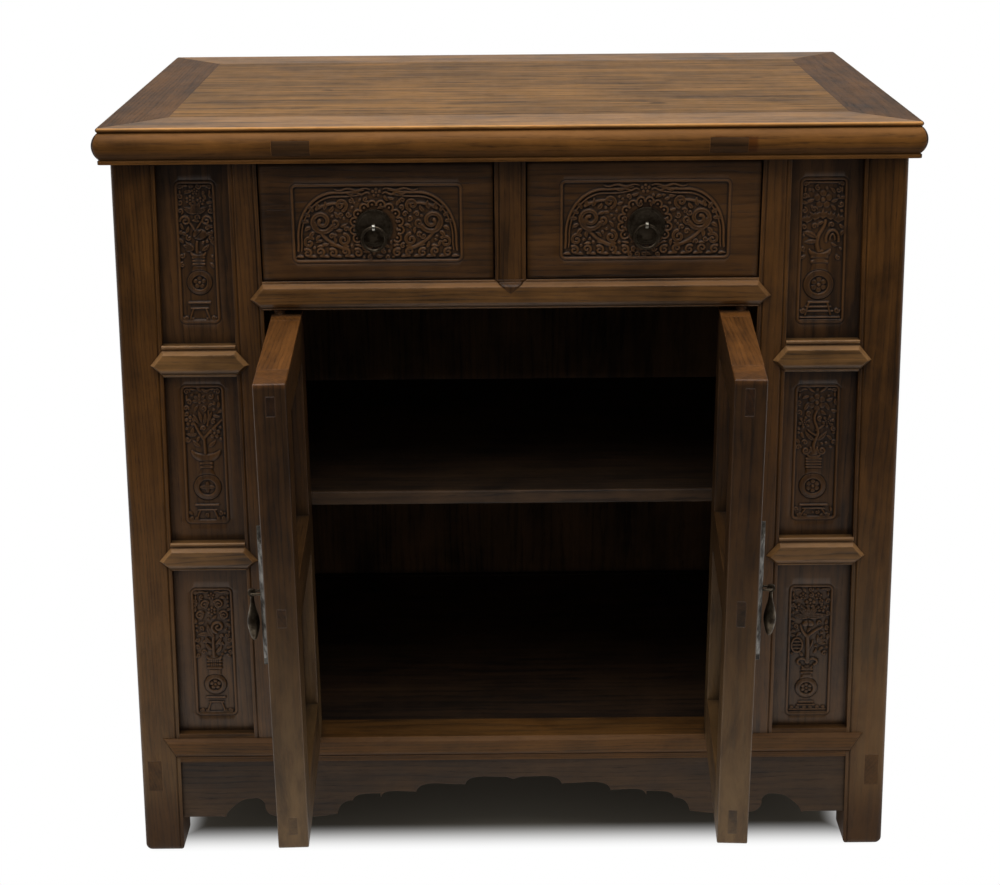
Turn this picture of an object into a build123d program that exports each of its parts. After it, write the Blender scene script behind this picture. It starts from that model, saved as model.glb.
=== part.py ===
"""Kang cabinet of elm: two drawers over a pair of pivot doors, between two columns of carved panels.

The frame is +Z up, with the doors standing open towards -Y. The origin lies on the floor, under the
middle of the box around the cabinet and its open doors. Lengths are in millimetres.

Pieces that enter others are made first. Each piece that receives them is then made from its blank by
cutting the entering pieces away, so every tenon fills its mortise and every board its groove.
"""

import os
from math import cos, hypot, radians, sin

from build123d import *

# ---------------------------------------------------------------- driving dimensions
height = 880.0
top_width = 875.0
top_depth = 540.0
top_thick = 38.0
top_overhang = 20.0          # in front of the posts and behind them
frame_width = 72.0           # members of the mitred top frame
corner_radius = 10.0         # the top's corners in plan
board = 12.0                 # thickness of panels and boards
let_in = 6.0                 # how far a board's edge enters its groove

post_side = 47.0             # posts are square in section
foot_half_width = 446.3      # outer faces of the posts, at the floor
splay = 24.3                 # how much further in those faces are under the top
post_round = 6.0             # rounding of a post's outer arrises
foot_round = 9.0             # rounding at the foot of a post
stile_inner = 268.0          # half the width of the door opening
stile_foot = 308.2           # panel edge of an inner stile, carried down to the floor
stile_taper = 0.0121         # that edge leans in by this much for each millimetre of height
stile_depth = 40.0
rail_depth = 42.0
divider_half = 16.5
bead = 4.6                   # width of the bead along an edge
quirk = 1.3                  # depth of the V groove beside it

bottom_rail = (123.0, 155.0)     # lower and upper edge
bottom_roll = (129.0, 155.0)
bottom_strip = 161.0             # top of the fillet that carries the lowest carved panels
drawer_rail = (679.0, 711.0)
drawer_roll = (679.0, 708.0)
column_rails = ((372.0, 406.0), (604.0, 640.0))
column_rolls = ((372.0, 400.0), (605.0, 634.0))
roll_proud = 6.0             # a rolled face stands this far in front of the posts
point_lap = 14.0             # a pointed shoulder laps this far over the member it meets
point_depth = 8.0            # and is let into it this deep
pointed = ((0.0, 0.0), (0.42, point_lap), (1.0, 0.0))    # lap at each share of a roll's height
slanted = ((0.0, 4.0), (1.0, 19.0))                      # the same for the bottom rail's ends
strip_proud = 1.8            # half-round bead above a roll
panel_back = 9.0             # face of the carved panels, behind the front of the posts
tenon_long = 24.0
tenon_thick = 12.0
tenon_inset = 5.0            # a tenon is lower than its rail by this much above and below
tenon_behind = 14.0          # front cheek of a tenon, behind the front of the posts
head_tenon = 14.0            # height of the tenons of stiles and divider in the top

side_rails = ((84.0, 125.0), (395.0, 425.0), (800.0, 842.0))
side_rail_thick = 30.0
side_panel_in = 8.0          # face of a side panel, in from the face of the posts
side_tenon = 20.0
side_through = 0.5           # a through tenon is lower than its rail by this much above and below
back_rails = ((112.0, 152.0), (675.0, 711.0), (800.0, 842.0))
back_tenon = 21.0
shelf_top = 452.0
shelf_thick = 16.0
shelf_in = 37.0              # front edge of the shelf: clear of the leaves' inner corners as they turn
floor_top = 150.0
bearer_in = (46.0, 31.0)     # faces of a bearer, in from the outer faces of the posts
bearer_high = 20.0
bearer_tenon = 12.0
runner_heights = (693.0, 711.0)
runner_spans = ((-288.0, -248.0), (-32.0, 32.0), (248.0, 288.0))
runner_tenons = ((-264.0, -252.0), (-26.0, 26.0), (252.0, 264.0))
runner_tenon = 10.0

apron_foot = 46.5
apron_thick = 20.0
apron_behind = 3.0           # face of the apron, behind the front of the posts
apron_lobe = (297.0, 212.0)  # outer and inner end of the lobe beside the arch
scallops = ((212.0, 49.0, 67.0), (193.5, 65.5, 76.5), (159.5, 70.0, 78.5), (117.0, 76.5, 88.0),
            (58.0, 86.0, 97.5))      # of each step of the arch: where it starts, its cusp, its crest
pendant = (8.0, 94.0)        # half width and lowest point of the cusp in the middle

batten_x = 228.5
batten_half = 21.0
batten_low = 32.0            # under side of a batten, below the top's upper face
batten_tenon = (20.0, 30.0, 13.5)    # half width of its through tenon, and its depths

leaf_thick = 32.0
leaf_stile = 46.0
leaf_gap = 1.5               # beside the inner stile, and half the gap between the leaves
leaf_arris = 1.5
leaf_worn = (3.5, 2.0)       # rounding of a meeting stile's lower and upper end
leaf_heel = 4.0              # rounding of the outer corner that turns beside the inner stile
leaf_rails = ((157.5, 212.0), (403.0, 448.0), (628.0, 674.0))
leaf_panel_in = 6.0          # face of a leaf's panels, in from its outer face
pivot_inset = 15.0           # pivot axis to the leaf's hinge edge
pivot_depth = 8.0            # pivot axis behind the leaf's outer face
pivot_back = 7.5             # pivot axis behind the front of the posts
pin_radius = 6.5
pin_long = 14.0
pin_play = 0.06
leaf_tenon_in = 12.0         # front cheek of a leaf's tenons, in from its outer face
leaf_tenon_thick = 9.0
leaf_tenons = {-1: 20.0, 1: 28.0}    # height of the through tenons of the left and right leaf
open_angles = {-1: 88.0, 1: 86.6}    # how far the left and right leaf stand open, in degrees

plate_width = 34.0
plate_heights = (366.0, 520.0)
plate_proud = 5.5
plate_point = (7.0, 11.0, 15.0)      # half width and drop of the pointed end, drop of its corners
pull_pivot = (447.0, 14.0)   # height of the pull's axis, and its distance from the leaf's face
pull_radius = 6.4
pull_long = 53.0
pull_neck = (1.9, 3.4)       # radius of the neck, and how far below the axis it starts
pull_eye = (4.2, 1.5, 2.6)   # outer and inner radius and thickness of the eye
staple_wire = 1.2
staple_half = 4.5
staple_bend = 2.2
staple_long = 12.0           # length of a staple inside the wood

drawer_heights = (711.5, 840.0)
drawer_set_back = 1.0
drawer_front_thick = 20.0
drawer_side = 11.0
drawer_gap = 1.5
drawer_box_back = 420.0      # rear of the drawer box, behind the front of the posts
ring_x = 145.5
ring_z = 771.0               # axis on which the ring swings
ring_radius = 12.6
ring_wire = 1.7
eye_outer = 3.6              # eye of the staple, round about the ring's wire
eye_inner = 2.2
eye_wide = 3.0
eye_stand = 6.5              # ring's axis in front of the drawer
shank = 1.4
backplate_drop = 2.0         # middle of the backplate below the ring's axis
tails = (16.0, 38.0, 18.0)   # dovetails: height of the first, spacing, height of each
tail_deep = 10.0

# ---------------------------------------------------------------- derived places
under_top = height - top_thick
pivot_x = stile_inner - leaf_gap - pivot_inset
leaf_reach = pivot_x - leaf_gap
open_turn = radians(open_angles[-1])
open_reach = (
    (leaf_reach - leaf_arris) * sin(open_turn) + (pivot_depth - leaf_arris) * cos(open_turn)
    + leaf_arris - pivot_back
)
front = (open_reach + top_overhang - top_depth) / 2     # y of the front of the posts
back = front + top_depth - 2 * top_overhang
middle = (front + back) / 2
pivot_y = front + pivot_back
leaf_face = pivot_y - pivot_depth
leaf_heights = (leaf_rails[0][0], leaf_rails[-1][1])
drawer_face = front + drawer_set_back
sides = ((-1, "left"), (1, "right"))
hinge_axes = {side: Axis((side * pivot_x, pivot_y, 0), (0, 0, 1)) for side, _ in sides}
half_x = top_width / 2
half_y = top_depth / 2

os.makedirs("parts", exist_ok=True)


def post_outer(z):
    """Distance from the centre plane to a post's outer face at height z."""
    return foot_half_width - splay / under_top * z


def post_inner(z):
    """Distance from the centre plane to a post's inner face at height z."""
    return post_outer(z) - post_side


def stile_outer(z):
    """Distance from the centre plane to an inner stile's panel edge at height z."""
    return stile_foot - stile_taper * z


def shift(edge, by):
    """The edge, as a function of height, moved away from the centre plane."""
    return lambda z: edge(z) + by


def upright(x):
    """A plumb edge at distance x, as a function of height."""
    return lambda z: x


# ---------------------------------------------------------------- shared operations
def save(piece, name):
    """Labels a finished piece and writes it to its own file."""
    piece.part.label = name
    export_step(piece.part, f"parts/{name}.step")


def block(x, y, z, mode=Mode.ADD):
    """Adds a box between a low and a high value along each axis to the part being built."""
    with Locations(((x[0] + x[1]) / 2, (y[0] + y[1]) / 2, (z[0] + z[1]) / 2)):
        Box(abs(x[1] - x[0]), abs(y[1] - y[0]), abs(z[1] - z[0]), mode=mode)


def prism(outline, y, mode=Mode.ADD):
    """Adds a prism from depth y[0] to y[1] with an outline of (x, z) points."""
    with BuildSketch(Plane(origin=(0, y[1], 0), x_dir=(1, 0, 0), z_dir=(0, -1, 0))) as profile:
        Polygon(*outline, align=None)
    extrude(profile.sketch, amount=y[1] - y[0], mode=mode)


def between(side, low, high, edge_a, edge_b, grow=0.0):
    """The (x, z) corners between two edges from height low to high, grown on every side."""
    z0 = low - grow
    z1 = high + grow
    return (
        (side * (edge_a(z0) - grow), z0),
        (side * (edge_b(z0) + grow), z0),
        (side * (edge_b(z1) + grow), z1),
        (side * (edge_a(z1) - grow), z1),
    )


def v_groove(start, end):
    """Cuts a V groove along the line from start to end on a face of the part being built."""
    run = Vector(*end) - Vector(*start)
    with BuildSketch(Plane(origin=start, x_dir=(0, 1, 0), z_dir=run)) as section:
        RegularPolygon(quirk, 4)
    extrude(section.sketch, amount=run.length, mode=Mode.SUBTRACT)


def seated(blank, guests):
    """A blank with a mortise, groove or hole cut for each guest that enters it."""
    with BuildPart() as piece:
        add(blank)
        for guest in guests:
            add(guest, mode=Mode.SUBTRACT)
    return piece


# ---------------------------------------------------------------- rails with rolled, pointed faces
def shoulder_outline(left, right, roll_heights, laps):
    """The (x, z) corners of a rail's face, whose ends lap over the uprights as laps says."""
    low, high = roll_heights
    ends = [(lap, low + share * (high - low)) for share, lap in laps]
    return [(left - lap, z) for lap, z in reversed(ends)] + [(right + lap, z) for lap, z in ends]


def rolled_face(outline, low, high):
    """Rolled face of a rail: flat with rounded edges in section over a narrow step, its ends mitred."""
    reach = [x for x, _ in outline]
    with BuildPart() as roll:
        with BuildSketch(Plane.YZ.offset(min(reach))):
            with BuildLine():
                step = Polyline(
                    (front, low), (front - 2.2, low), (front - 2.2, low + 2.2), (front - 1.4, low + 2.8)
                )
                under = ThreePointArc(step @ 1, (front - 4.8, low + 5.6), (front - roll_proud, low + 11))
                over = ThreePointArc(under @ 1, (front - 5, high - 2.2), (front - 1.6, high))
                Polyline(over @ 1, (front, high), step @ 0)
            make_face()
        extrude(amount=max(reach) - min(reach))
        with BuildSketch(Plane(origin=(0, front, 0), x_dir=(1, 0, 0), z_dir=(0, -1, 0))):
            Polygon(*outline, align=None)
        extrude(amount=roll_proud, taper=30, mode=Mode.INTERSECT)
    return roll.part


def front_rail(side, edge_a, edge_b, heights, roll_heights, laps=pointed):
    """Rail of the front, from edge_a to edge_b: square body, tenons, shoulders that lap over the
    uprights, a rolled face, and a half-round bead above the roll where there is room for it."""
    low, high = heights
    roll_low, roll_high = roll_heights
    centre = (roll_low + roll_high) / 2
    left, right = sorted((side * edge_a(centre), side * edge_b(centre)))
    outline = shoulder_outline(left, right, roll_heights, laps)
    face = rolled_face(outline, roll_low, roll_high)
    strip = high - roll_high
    with BuildPart() as rail:
        prism(between(side, low, high, edge_a, edge_b), (front, front + rail_depth))
        prism(outline, (front, front + point_depth))
        block(
            (left - tenon_long, right + tenon_long),
            (front + tenon_behind, front + tenon_behind + tenon_thick),
            (low + tenon_inset, high - tenon_inset),
        )
        add(face)
        if strip > 2 * strip_proud:
            with BuildSketch(Plane.YZ.offset(left)) as half_round:
                with BuildLine():
                    bow = ThreePointArc(
                        (front, roll_high + 1.2), (front - strip_proud, roll_high + strip / 2 + 0.6),
                        (front, high),
                    )
                    Line(bow @ 1, bow @ 0)
                make_face()
            extrude(half_round.sketch, amount=right - left)
    return rail


bottom_blank = front_rail(
    1, lambda z: -post_inner(z), post_inner, bottom_rail, bottom_roll, laps=slanted,
)
with BuildPart() as bottom_member:
    add(bottom_blank.part)
    for side, _ in sides:
        prism(
            between(side, bottom_rail[1], bottom_strip, stile_outer, post_inner),
            (front, front + rail_depth),
        )
drawer_member = front_rail(1, upright(-stile_inner), upright(stile_inner), drawer_rail, drawer_roll)
column_members = {
    side: [
        front_rail(side, stile_outer, post_inner, heights, roll)
        for heights, roll in zip(column_rails, column_rolls)
    ]
    for side, _ in sides
}

# ---------------------------------------------------------------- drawer divider
with BuildPart() as divider:
    block((-divider_half, divider_half), (front, front + rail_depth), (drawer_rail[1], under_top))
    prism(
        ((-divider_half, drawer_rail[1]), (0, drawer_rail[1] - 12.5), (divider_half, drawer_rail[1])),
        (front, front + point_depth),
    )
    for z in ((drawer_rail[1] - 16, drawer_rail[1]), (under_top, under_top + head_tenon)):
        block((-8, 8), (front + tenon_behind, front + tenon_behind + tenon_thick), z)
    for x in (bead - divider_half, divider_half - bead):
        v_groove((x, front, drawer_rail[1]), (x, front, under_top))

# ---------------------------------------------------------------- boards of the front, sides and back
column_bays = (
    (bottom_strip, column_rails[0][0]),
    (column_rails[0][1], column_rails[1][0]),
    (column_rails[1][1], under_top),
)
column_boards = {}
side_boards = {}
for side, name in sides:
    with BuildPart() as column_panels:
        for low, high in column_bays:
            prism(
                between(side, low, high, stile_outer, post_inner, grow=let_in),
                (front + panel_back, front + panel_back + board),
            )
    column_boards[side] = column_panels
    with BuildPart() as side_panels:
        for lower, upper in zip(side_rails, side_rails[1:]):
            prism(
                between(
                    side, lower[1] - let_in, upper[0] + let_in,
                    shift(post_outer, -side_panel_in - board), shift(post_outer, -side_panel_in),
                ),
                (front + post_side - let_in, back - post_side + let_in),
            )
    side_boards[side] = side_panels

with BuildPart() as back_boards:
    for lower, upper in zip(back_rails, back_rails[1:]):
        prism(
            between(1, lower[1], upper[0], lambda z: -post_inner(z), post_inner, grow=let_in),
            (back - side_panel_in - board, back - side_panel_in),
        )

# ---------------------------------------------------------------- rails of the sides and back
side_members = {}
for side, _ in sides:
    with BuildPart() as side_member:
        for low, high in side_rails:
            prism(
                between(side, low, high, shift(post_outer, -side_rail_thick), post_outer),
                (front + post_side, back - post_side),
            )
            is_lowest = low == side_rails[0][0]
            reach = post_side if is_lowest else side_tenon
            inset = side_through if is_lowest else tenon_inset
            prism(
                between(side, low + inset, high - inset, shift(post_outer, -24), shift(post_outer, -8)),
                (front + post_side - reach, back - post_side + reach),
            )
    side_members[side] = seated(side_member.part, (side_boards[side].part,))

with BuildPart() as back_member:
    for low, high in back_rails:
        prism(
            between(1, low, high, lambda z: -post_inner(z), post_inner),
            (back - side_rail_thick, back),
        )
        prism(
            between(
                1, low + tenon_inset, high - tenon_inset,
                lambda z: -post_inner(z) - back_tenon, shift(post_inner, back_tenon),
            ),
            (back - 24, back - 12),
        )

# ---------------------------------------------------------------- shelf, floor and what carries them
bearer_edges = [shift(post_outer, -inset) for inset in bearer_in]
with BuildPart() as bearers:
    for side, _ in sides:
        for top in (shelf_top - shelf_thick, floor_top - board):
            prism(
                between(side, top - bearer_high, top, *bearer_edges),
                (front + post_side, back - post_side),
            )
            prism(
                between(side, top - bearer_high + 4, top - 4, *bearer_edges),
                (front + post_side - bearer_tenon, back - post_side + bearer_tenon),
            )


def inside_board(top, thick, front_half, front_y, back_y):
    """A board on the bearers, notched round the posts: its top, thickness, the half width of its front
    part, and where its front and back edges lie."""
    half = post_outer(top) - bearer_in[1] - 2
    rear_half = post_inner(top) - 1
    with BuildPart() as piece:
        block((-half, half), (front + post_side, back - post_side), (top - thick, top))
        block((-front_half, front_half), (front_y, front + post_side), (top - thick, top))
        if back_y > back - post_side:
            block((-rear_half, rear_half), (back - post_side, back_y), (top - thick, top))
    return piece


floor_boards = inside_board(
    floor_top, board, post_inner(floor_top) - 1, front + rail_depth - let_in, back - side_rail_thick + let_in,
)
shelf_blank = inside_board(shelf_top, shelf_thick, stile_inner - 1, front + shelf_in, back - post_side)
with BuildPart() as shelf:
    add(shelf_blank.part)
    fillet(shelf.edges().filter_by(Axis.X).group_by(Axis.Y)[0], 2)

with BuildPart() as drawer_runners:
    for span, tenon in zip(runner_spans, runner_tenons):
        block(span, (front + rail_depth, back - side_rail_thick), runner_heights)
        block(
            tenon,
            (front + rail_depth - runner_tenon, back - side_rail_thick + runner_tenon),
            (runner_heights[0] + 4, runner_heights[1] - 4),
        )

# ---------------------------------------------------------------- apron
with BuildPart() as apron:
    apron_head = bottom_rail[0] + let_in
    apron_back = front + apron_behind + apron_thick
    with BuildSketch(Plane(origin=(0, apron_back, 0), x_dir=(1, 0, 0), z_dir=(0, -1, 0))):
        with BuildLine():
            ends = Polyline(
                (0, apron_head), (post_inner(apron_head) + let_in, apron_head),
                (post_inner(apron_foot) + let_in, apron_foot), (350, apron_foot), (347, apron_foot - 1.5),
            )
            heel = Spline(ends @ 1, (340, 57), (331, 65), (312, 71), tangents=((-0.2, 1), (-1, 0)))
            arch = ThreePointArc(heel @ 1, (302, 68.5), (298.5, 62))
            lobe_out, lobe_in = apron_lobe
            round_in = ThreePointArc(arch @ 1, (lobe_out - 3, apron_foot + 3), (lobe_out - 11, apron_foot))
            lobe = ThreePointArc(
                round_in @ 1, ((lobe_out + lobe_in) / 2, apron_foot - 2), (lobe_in, scallops[0][1]),
            )
            edge_end = lobe @ 1
            followers = [start for start, _, _ in scallops[1:]] + [pendant[0]]
            for (start, cusp, crest), following in zip(scallops, followers):
                if edge_end.X != start or edge_end.Y != cusp:
                    Line(edge_end, (start, cusp))
                step = Spline((start, cusp), (following + 0.5, crest), tangents=((-0.15, 1), (-1, 0.05)))
                edge_end = step @ 1
            Line(edge_end, (0, pendant[1]))
            mirror(about=Plane.YZ)
        make_face()
    extrude(amount=apron_thick)

# ---------------------------------------------------------------- top: envelope, board and battens
edge_deep = 9.0
with BuildSketch(Plane.XY.offset(height)) as top_plan:
    with Locations((0, middle)):
        RectangleRounded(top_width, top_depth, corner_radius)
rim_path = top_plan.sketch.faces()[0].outer_wire()
along = rim_path % 0
with BuildSketch(Plane(origin=rim_path @ 0, x_dir=along.cross(Vector(0, 0, 1)), z_dir=-along)) as top_edge:
    with BuildLine():
        upper = Line((-edge_deep, 0), (-7.6, 0))
        lip = ThreePointArc(upper @ 1, (-5.6, -2.1), (-6.6, -4.2))
        quirked = Polyline(lip @ 1, (-7.6, -5.2), (-5.8, -6.4))
        swell = ThreePointArc(quirked @ 1, (0, -19.4), (-5.8, -32.4))
        Polyline(
            swell @ 1, (-7.2, -33.4), (-5.4, -34.6), (-5.4, -top_thick), (-edge_deep, -top_thick), upper @ 0,
        )
    make_face()
with BuildPart() as top_envelope:
    sweep(sections=top_edge.sketch, path=rim_path)
    block(
        (edge_deep - half_x, half_x - edge_deep), (middle - half_y + edge_deep, middle + half_y - edge_deep),
        (under_top, height),
    )

board_x = half_x - frame_width
board_y = (front - top_overhang + frame_width, back + top_overhang - frame_width)
with BuildPart() as top_board:
    block((-board_x, board_x), board_y, (height - board, height))
    block(
        (-board_x - let_in, board_x + let_in), (board_y[0] - let_in, board_y[1] + let_in),
        (height - board + 1, height - 5),
    )

with BuildPart() as batten_bars:
    tenon_half, tenon_low, tenon_top = batten_tenon
    for centre in (-batten_x, batten_x):
        block(
            (centre - batten_half, centre + batten_half), board_y, (height - batten_low, height - board)
        )
        block(
            (centre - tenon_half, centre + tenon_half), (front - top_overhang, back + top_overhang),
            (height - tenon_low, height - tenon_top),
        )
with BuildPart() as top_battens:
    add(batten_bars.part)
    add(top_envelope.part, mode=Mode.INTERSECT)

# ---------------------------------------------------------------- uprights before their mortises
def post_blank(side, is_front):
    """A post: square in section, leaning out to a rounded foot, with a tenon into the top."""
    y = (front, front + post_side) if is_front else (back - post_side, back)
    centre_y = (y[0] + y[1]) / 2
    head_x = side * (post_inner(under_top) + post_side / 2)
    with BuildPart() as blank:
        with BuildSketch():
            with Locations((side * (foot_half_width - post_side / 2), centre_y)):
                Rectangle(post_side, post_side)
        extrude(amount=hypot(splay, under_top), dir=(-side * splay, 0, under_top))
        fillet(blank.faces().sort_by(Axis.Z)[0].edges(), foot_round)
        arrises = blank.edges().filter_by(lambda edge: edge.length > under_top - 2 * foot_round)
        fillet(arrises.sort_by(Axis.X, reverse=side > 0)[:2], post_round)
        if is_front:
            inner_bead = shift(post_inner, bead)
            v_groove((side * inner_bead(0), front, 0), (side * inner_bead(under_top), front, under_top))
        block((head_x - 12, head_x + 12), (centre_y - 12, centre_y + 12), (under_top, under_top + 16))
    return blank.part


def stile_blank(side):
    """An inner stile, beaded along both front edges, with a tenon at each end."""
    low = bottom_rail[1]
    with BuildPart() as blank:
        prism(between(side, low, under_top, upright(stile_inner), stile_outer), (front, front + stile_depth))
        for edge in (upright(stile_inner + bead), shift(stile_outer, -bead)):
            v_groove((side * edge(low), front, low), (side * edge(under_top), front, under_top))
        for z in ((low - 16, low), (under_top, under_top + head_tenon)):
            block(
                (side * (stile_inner + 9), side * (stile_inner + 21)),
                (front + tenon_behind, front + tenon_behind + tenon_thick), z,
            )
    return blank.part


stiles = {side: stile_blank(side) for side, _ in sides}

# ---------------------------------------------------------------- leaves of the door
def leaf_block(side, x, y, z, mode=Mode.ADD):
    """Box of a closed leaf: x runs from the pivot to the meeting edge, y in from the outer face."""
    block(
        (side * (pivot_x - x[0]), side * (pivot_x - x[1])), (leaf_face + y[0], leaf_face + y[1]), z, mode
    )


def opened(side, closed):
    """A piece made for the closed leaf, turned about the pivot to where the leaf stands."""
    with BuildPart() as piece:
        add(closed.rotate(hinge_axes[side], side * open_angles[side]))
    return piece


for side, name in sides:
    hinge_edge = -pivot_inset
    inner_edges = (hinge_edge + leaf_stile, leaf_reach - leaf_stile)
    through = leaf_tenons[side]

    with BuildPart() as leaf_rail_blanks:
        for low, high in leaf_rails:
            leaf_block(side, inner_edges, (0, leaf_thick), (low, high))
            centre = (low + high) / 2
            leaf_block(
                side, (hinge_edge + 12, leaf_reach), (leaf_tenon_in, leaf_tenon_in + leaf_tenon_thick),
                (centre - through / 2, centre + through / 2),
            )
    with BuildPart() as leaf_boards:
        for lower, upper in zip(leaf_rails, leaf_rails[1:]):
            leaf_block(
                side, (inner_edges[0] - let_in, inner_edges[1] + let_in),
                (leaf_panel_in, leaf_panel_in + board), (lower[1] - let_in, upper[0] + let_in),
            )
    with BuildPart() as hinge_stile_blank:
        leaf_block(side, (hinge_edge, inner_edges[0]), (0, leaf_thick), leaf_heights)
        edges_up = hinge_stile_blank.edges().filter_by(Axis.Z).sort_by(Axis.X, reverse=side > 0)[:2]
        fillet(edges_up.sort_by(Axis.Y)[0], leaf_heel)
        with Locations((side * pivot_x, pivot_y, leaf_heights[0] - pin_long)):
            Cylinder(
                pin_radius, leaf_heights[1] - leaf_heights[0] + 2 * pin_long,
                align=(Align.CENTER, Align.CENTER, Align.MIN),
            )
    with BuildPart() as meeting_stile_blank:
        leaf_block(side, (inner_edges[1], leaf_reach), (0, leaf_thick), leaf_heights)
        for end_group, worn in zip((0, -1), leaf_worn):
            ends_along = meeting_stile_blank.edges().filter_by(Axis.Y).group_by(Axis.Z)[end_group]
            fillet(ends_along.sort_by(Axis.X, reverse=side < 0)[0], worn)
        edges_up = meeting_stile_blank.edges().filter_by(Axis.Z).sort_by(Axis.X, reverse=side < 0)[:2]
        fillet(edges_up, leaf_arris)

    plate_x = (leaf_reach - leaf_arris - plate_width, leaf_reach - leaf_arris)
    plate_mid = sum(plate_x) / 2
    centre_x = side * (pivot_x - plate_mid)
    with BuildPart() as face_plate:
        with BuildSketch(Plane.XY.offset(plate_heights[0])):
            with BuildLine():
                ThreePointArc(
                    (centre_x - plate_width / 2, leaf_face), (centre_x, leaf_face - plate_proud),
                    (centre_x + plate_width / 2, leaf_face),
                )
                Line((centre_x + plate_width / 2, leaf_face), (centre_x - plate_width / 2, leaf_face))
            make_face()
        extrude(amount=plate_heights[1] - plate_heights[0])
        plate_middle = (centre_x, leaf_face, sum(plate_heights) / 2)
        with BuildSketch(Plane(origin=plate_middle, x_dir=(1, 0, 0), z_dir=(0, -1, 0))):
            with BuildLine():
                half_long = (plate_heights[1] - plate_heights[0]) / 2
                shoulder, point, corner = plate_point
                Polyline(
                    (0, half_long), (shoulder, half_long - point), (plate_width / 2, half_long - corner),
                    (plate_width / 2, 0),
                )
                mirror(about=Plane.YZ)
                mirror(about=Plane.XZ)
            make_face()
        extrude(amount=plate_proud, mode=Mode.INTERSECT)

    pull_z, pull_stand = pull_pivot
    bar_y = leaf_face - pull_stand
    with BuildPart() as staple:
        with BuildLine():
            wire_path = FilletPolyline(
                (centre_x - staple_half, leaf_face + staple_long, pull_z),
                (centre_x - staple_half, bar_y, pull_z),
                (centre_x + staple_half, bar_y, pull_z),
                (centre_x + staple_half, leaf_face + staple_long, pull_z), radius=staple_bend,
            )
        with BuildSketch(Plane(origin=wire_path @ 0, z_dir=wire_path % 0)):
            Circle(staple_wire)
        sweep()

    with BuildPart() as pull:
        eye_out, eye_in, eye_thick = pull_eye
        eye_side = (centre_x - eye_thick / 2, bar_y, pull_z)
        with BuildSketch(Plane(origin=eye_side, x_dir=(0, 1, 0), z_dir=(1, 0, 0))):
            Circle(eye_out)
            Circle(eye_in, mode=Mode.SUBTRACT)
        extrude(amount=eye_thick)
        with BuildSketch(Plane(origin=(centre_x, bar_y, pull_z), x_dir=(1, 0, 0), z_dir=(0, -1, 0))):
            with BuildLine():
                neck = Line((0, -pull_neck[1]), (pull_neck[0], -pull_neck[1]))
                belly = Spline(
                    neck @ 1, (2.4, -12), (pull_radius, -33), (4.4, -45), (0, -pull_long),
                    tangents=((0, -1), (-1, -0.5)),
                )
                Line(belly @ 1, neck @ 0)
            make_face()
        revolve(axis=Axis((centre_x, bar_y, 0), (0, 0, 1)))

    hinge_stile = seated(hinge_stile_blank.part, (leaf_rail_blanks.part, leaf_boards.part))
    meeting_stile = seated(meeting_stile_blank.part, (leaf_rail_blanks.part, leaf_boards.part, staple.part))
    pieces = {
        "hinge_stile": hinge_stile.part,
        "meeting_stile": meeting_stile.part,
        "rails": seated(leaf_rail_blanks.part, (leaf_boards.part,)).part,
        "panels": leaf_boards.part,
        "face_plate": seated(face_plate.part, (staple.part,)).part,
        "staple": staple.part,
        "pull": pull.part,
    }
    for piece_name, closed in pieces.items():
        save(opened(side, closed), f"door_{name}_{piece_name}")

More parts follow.
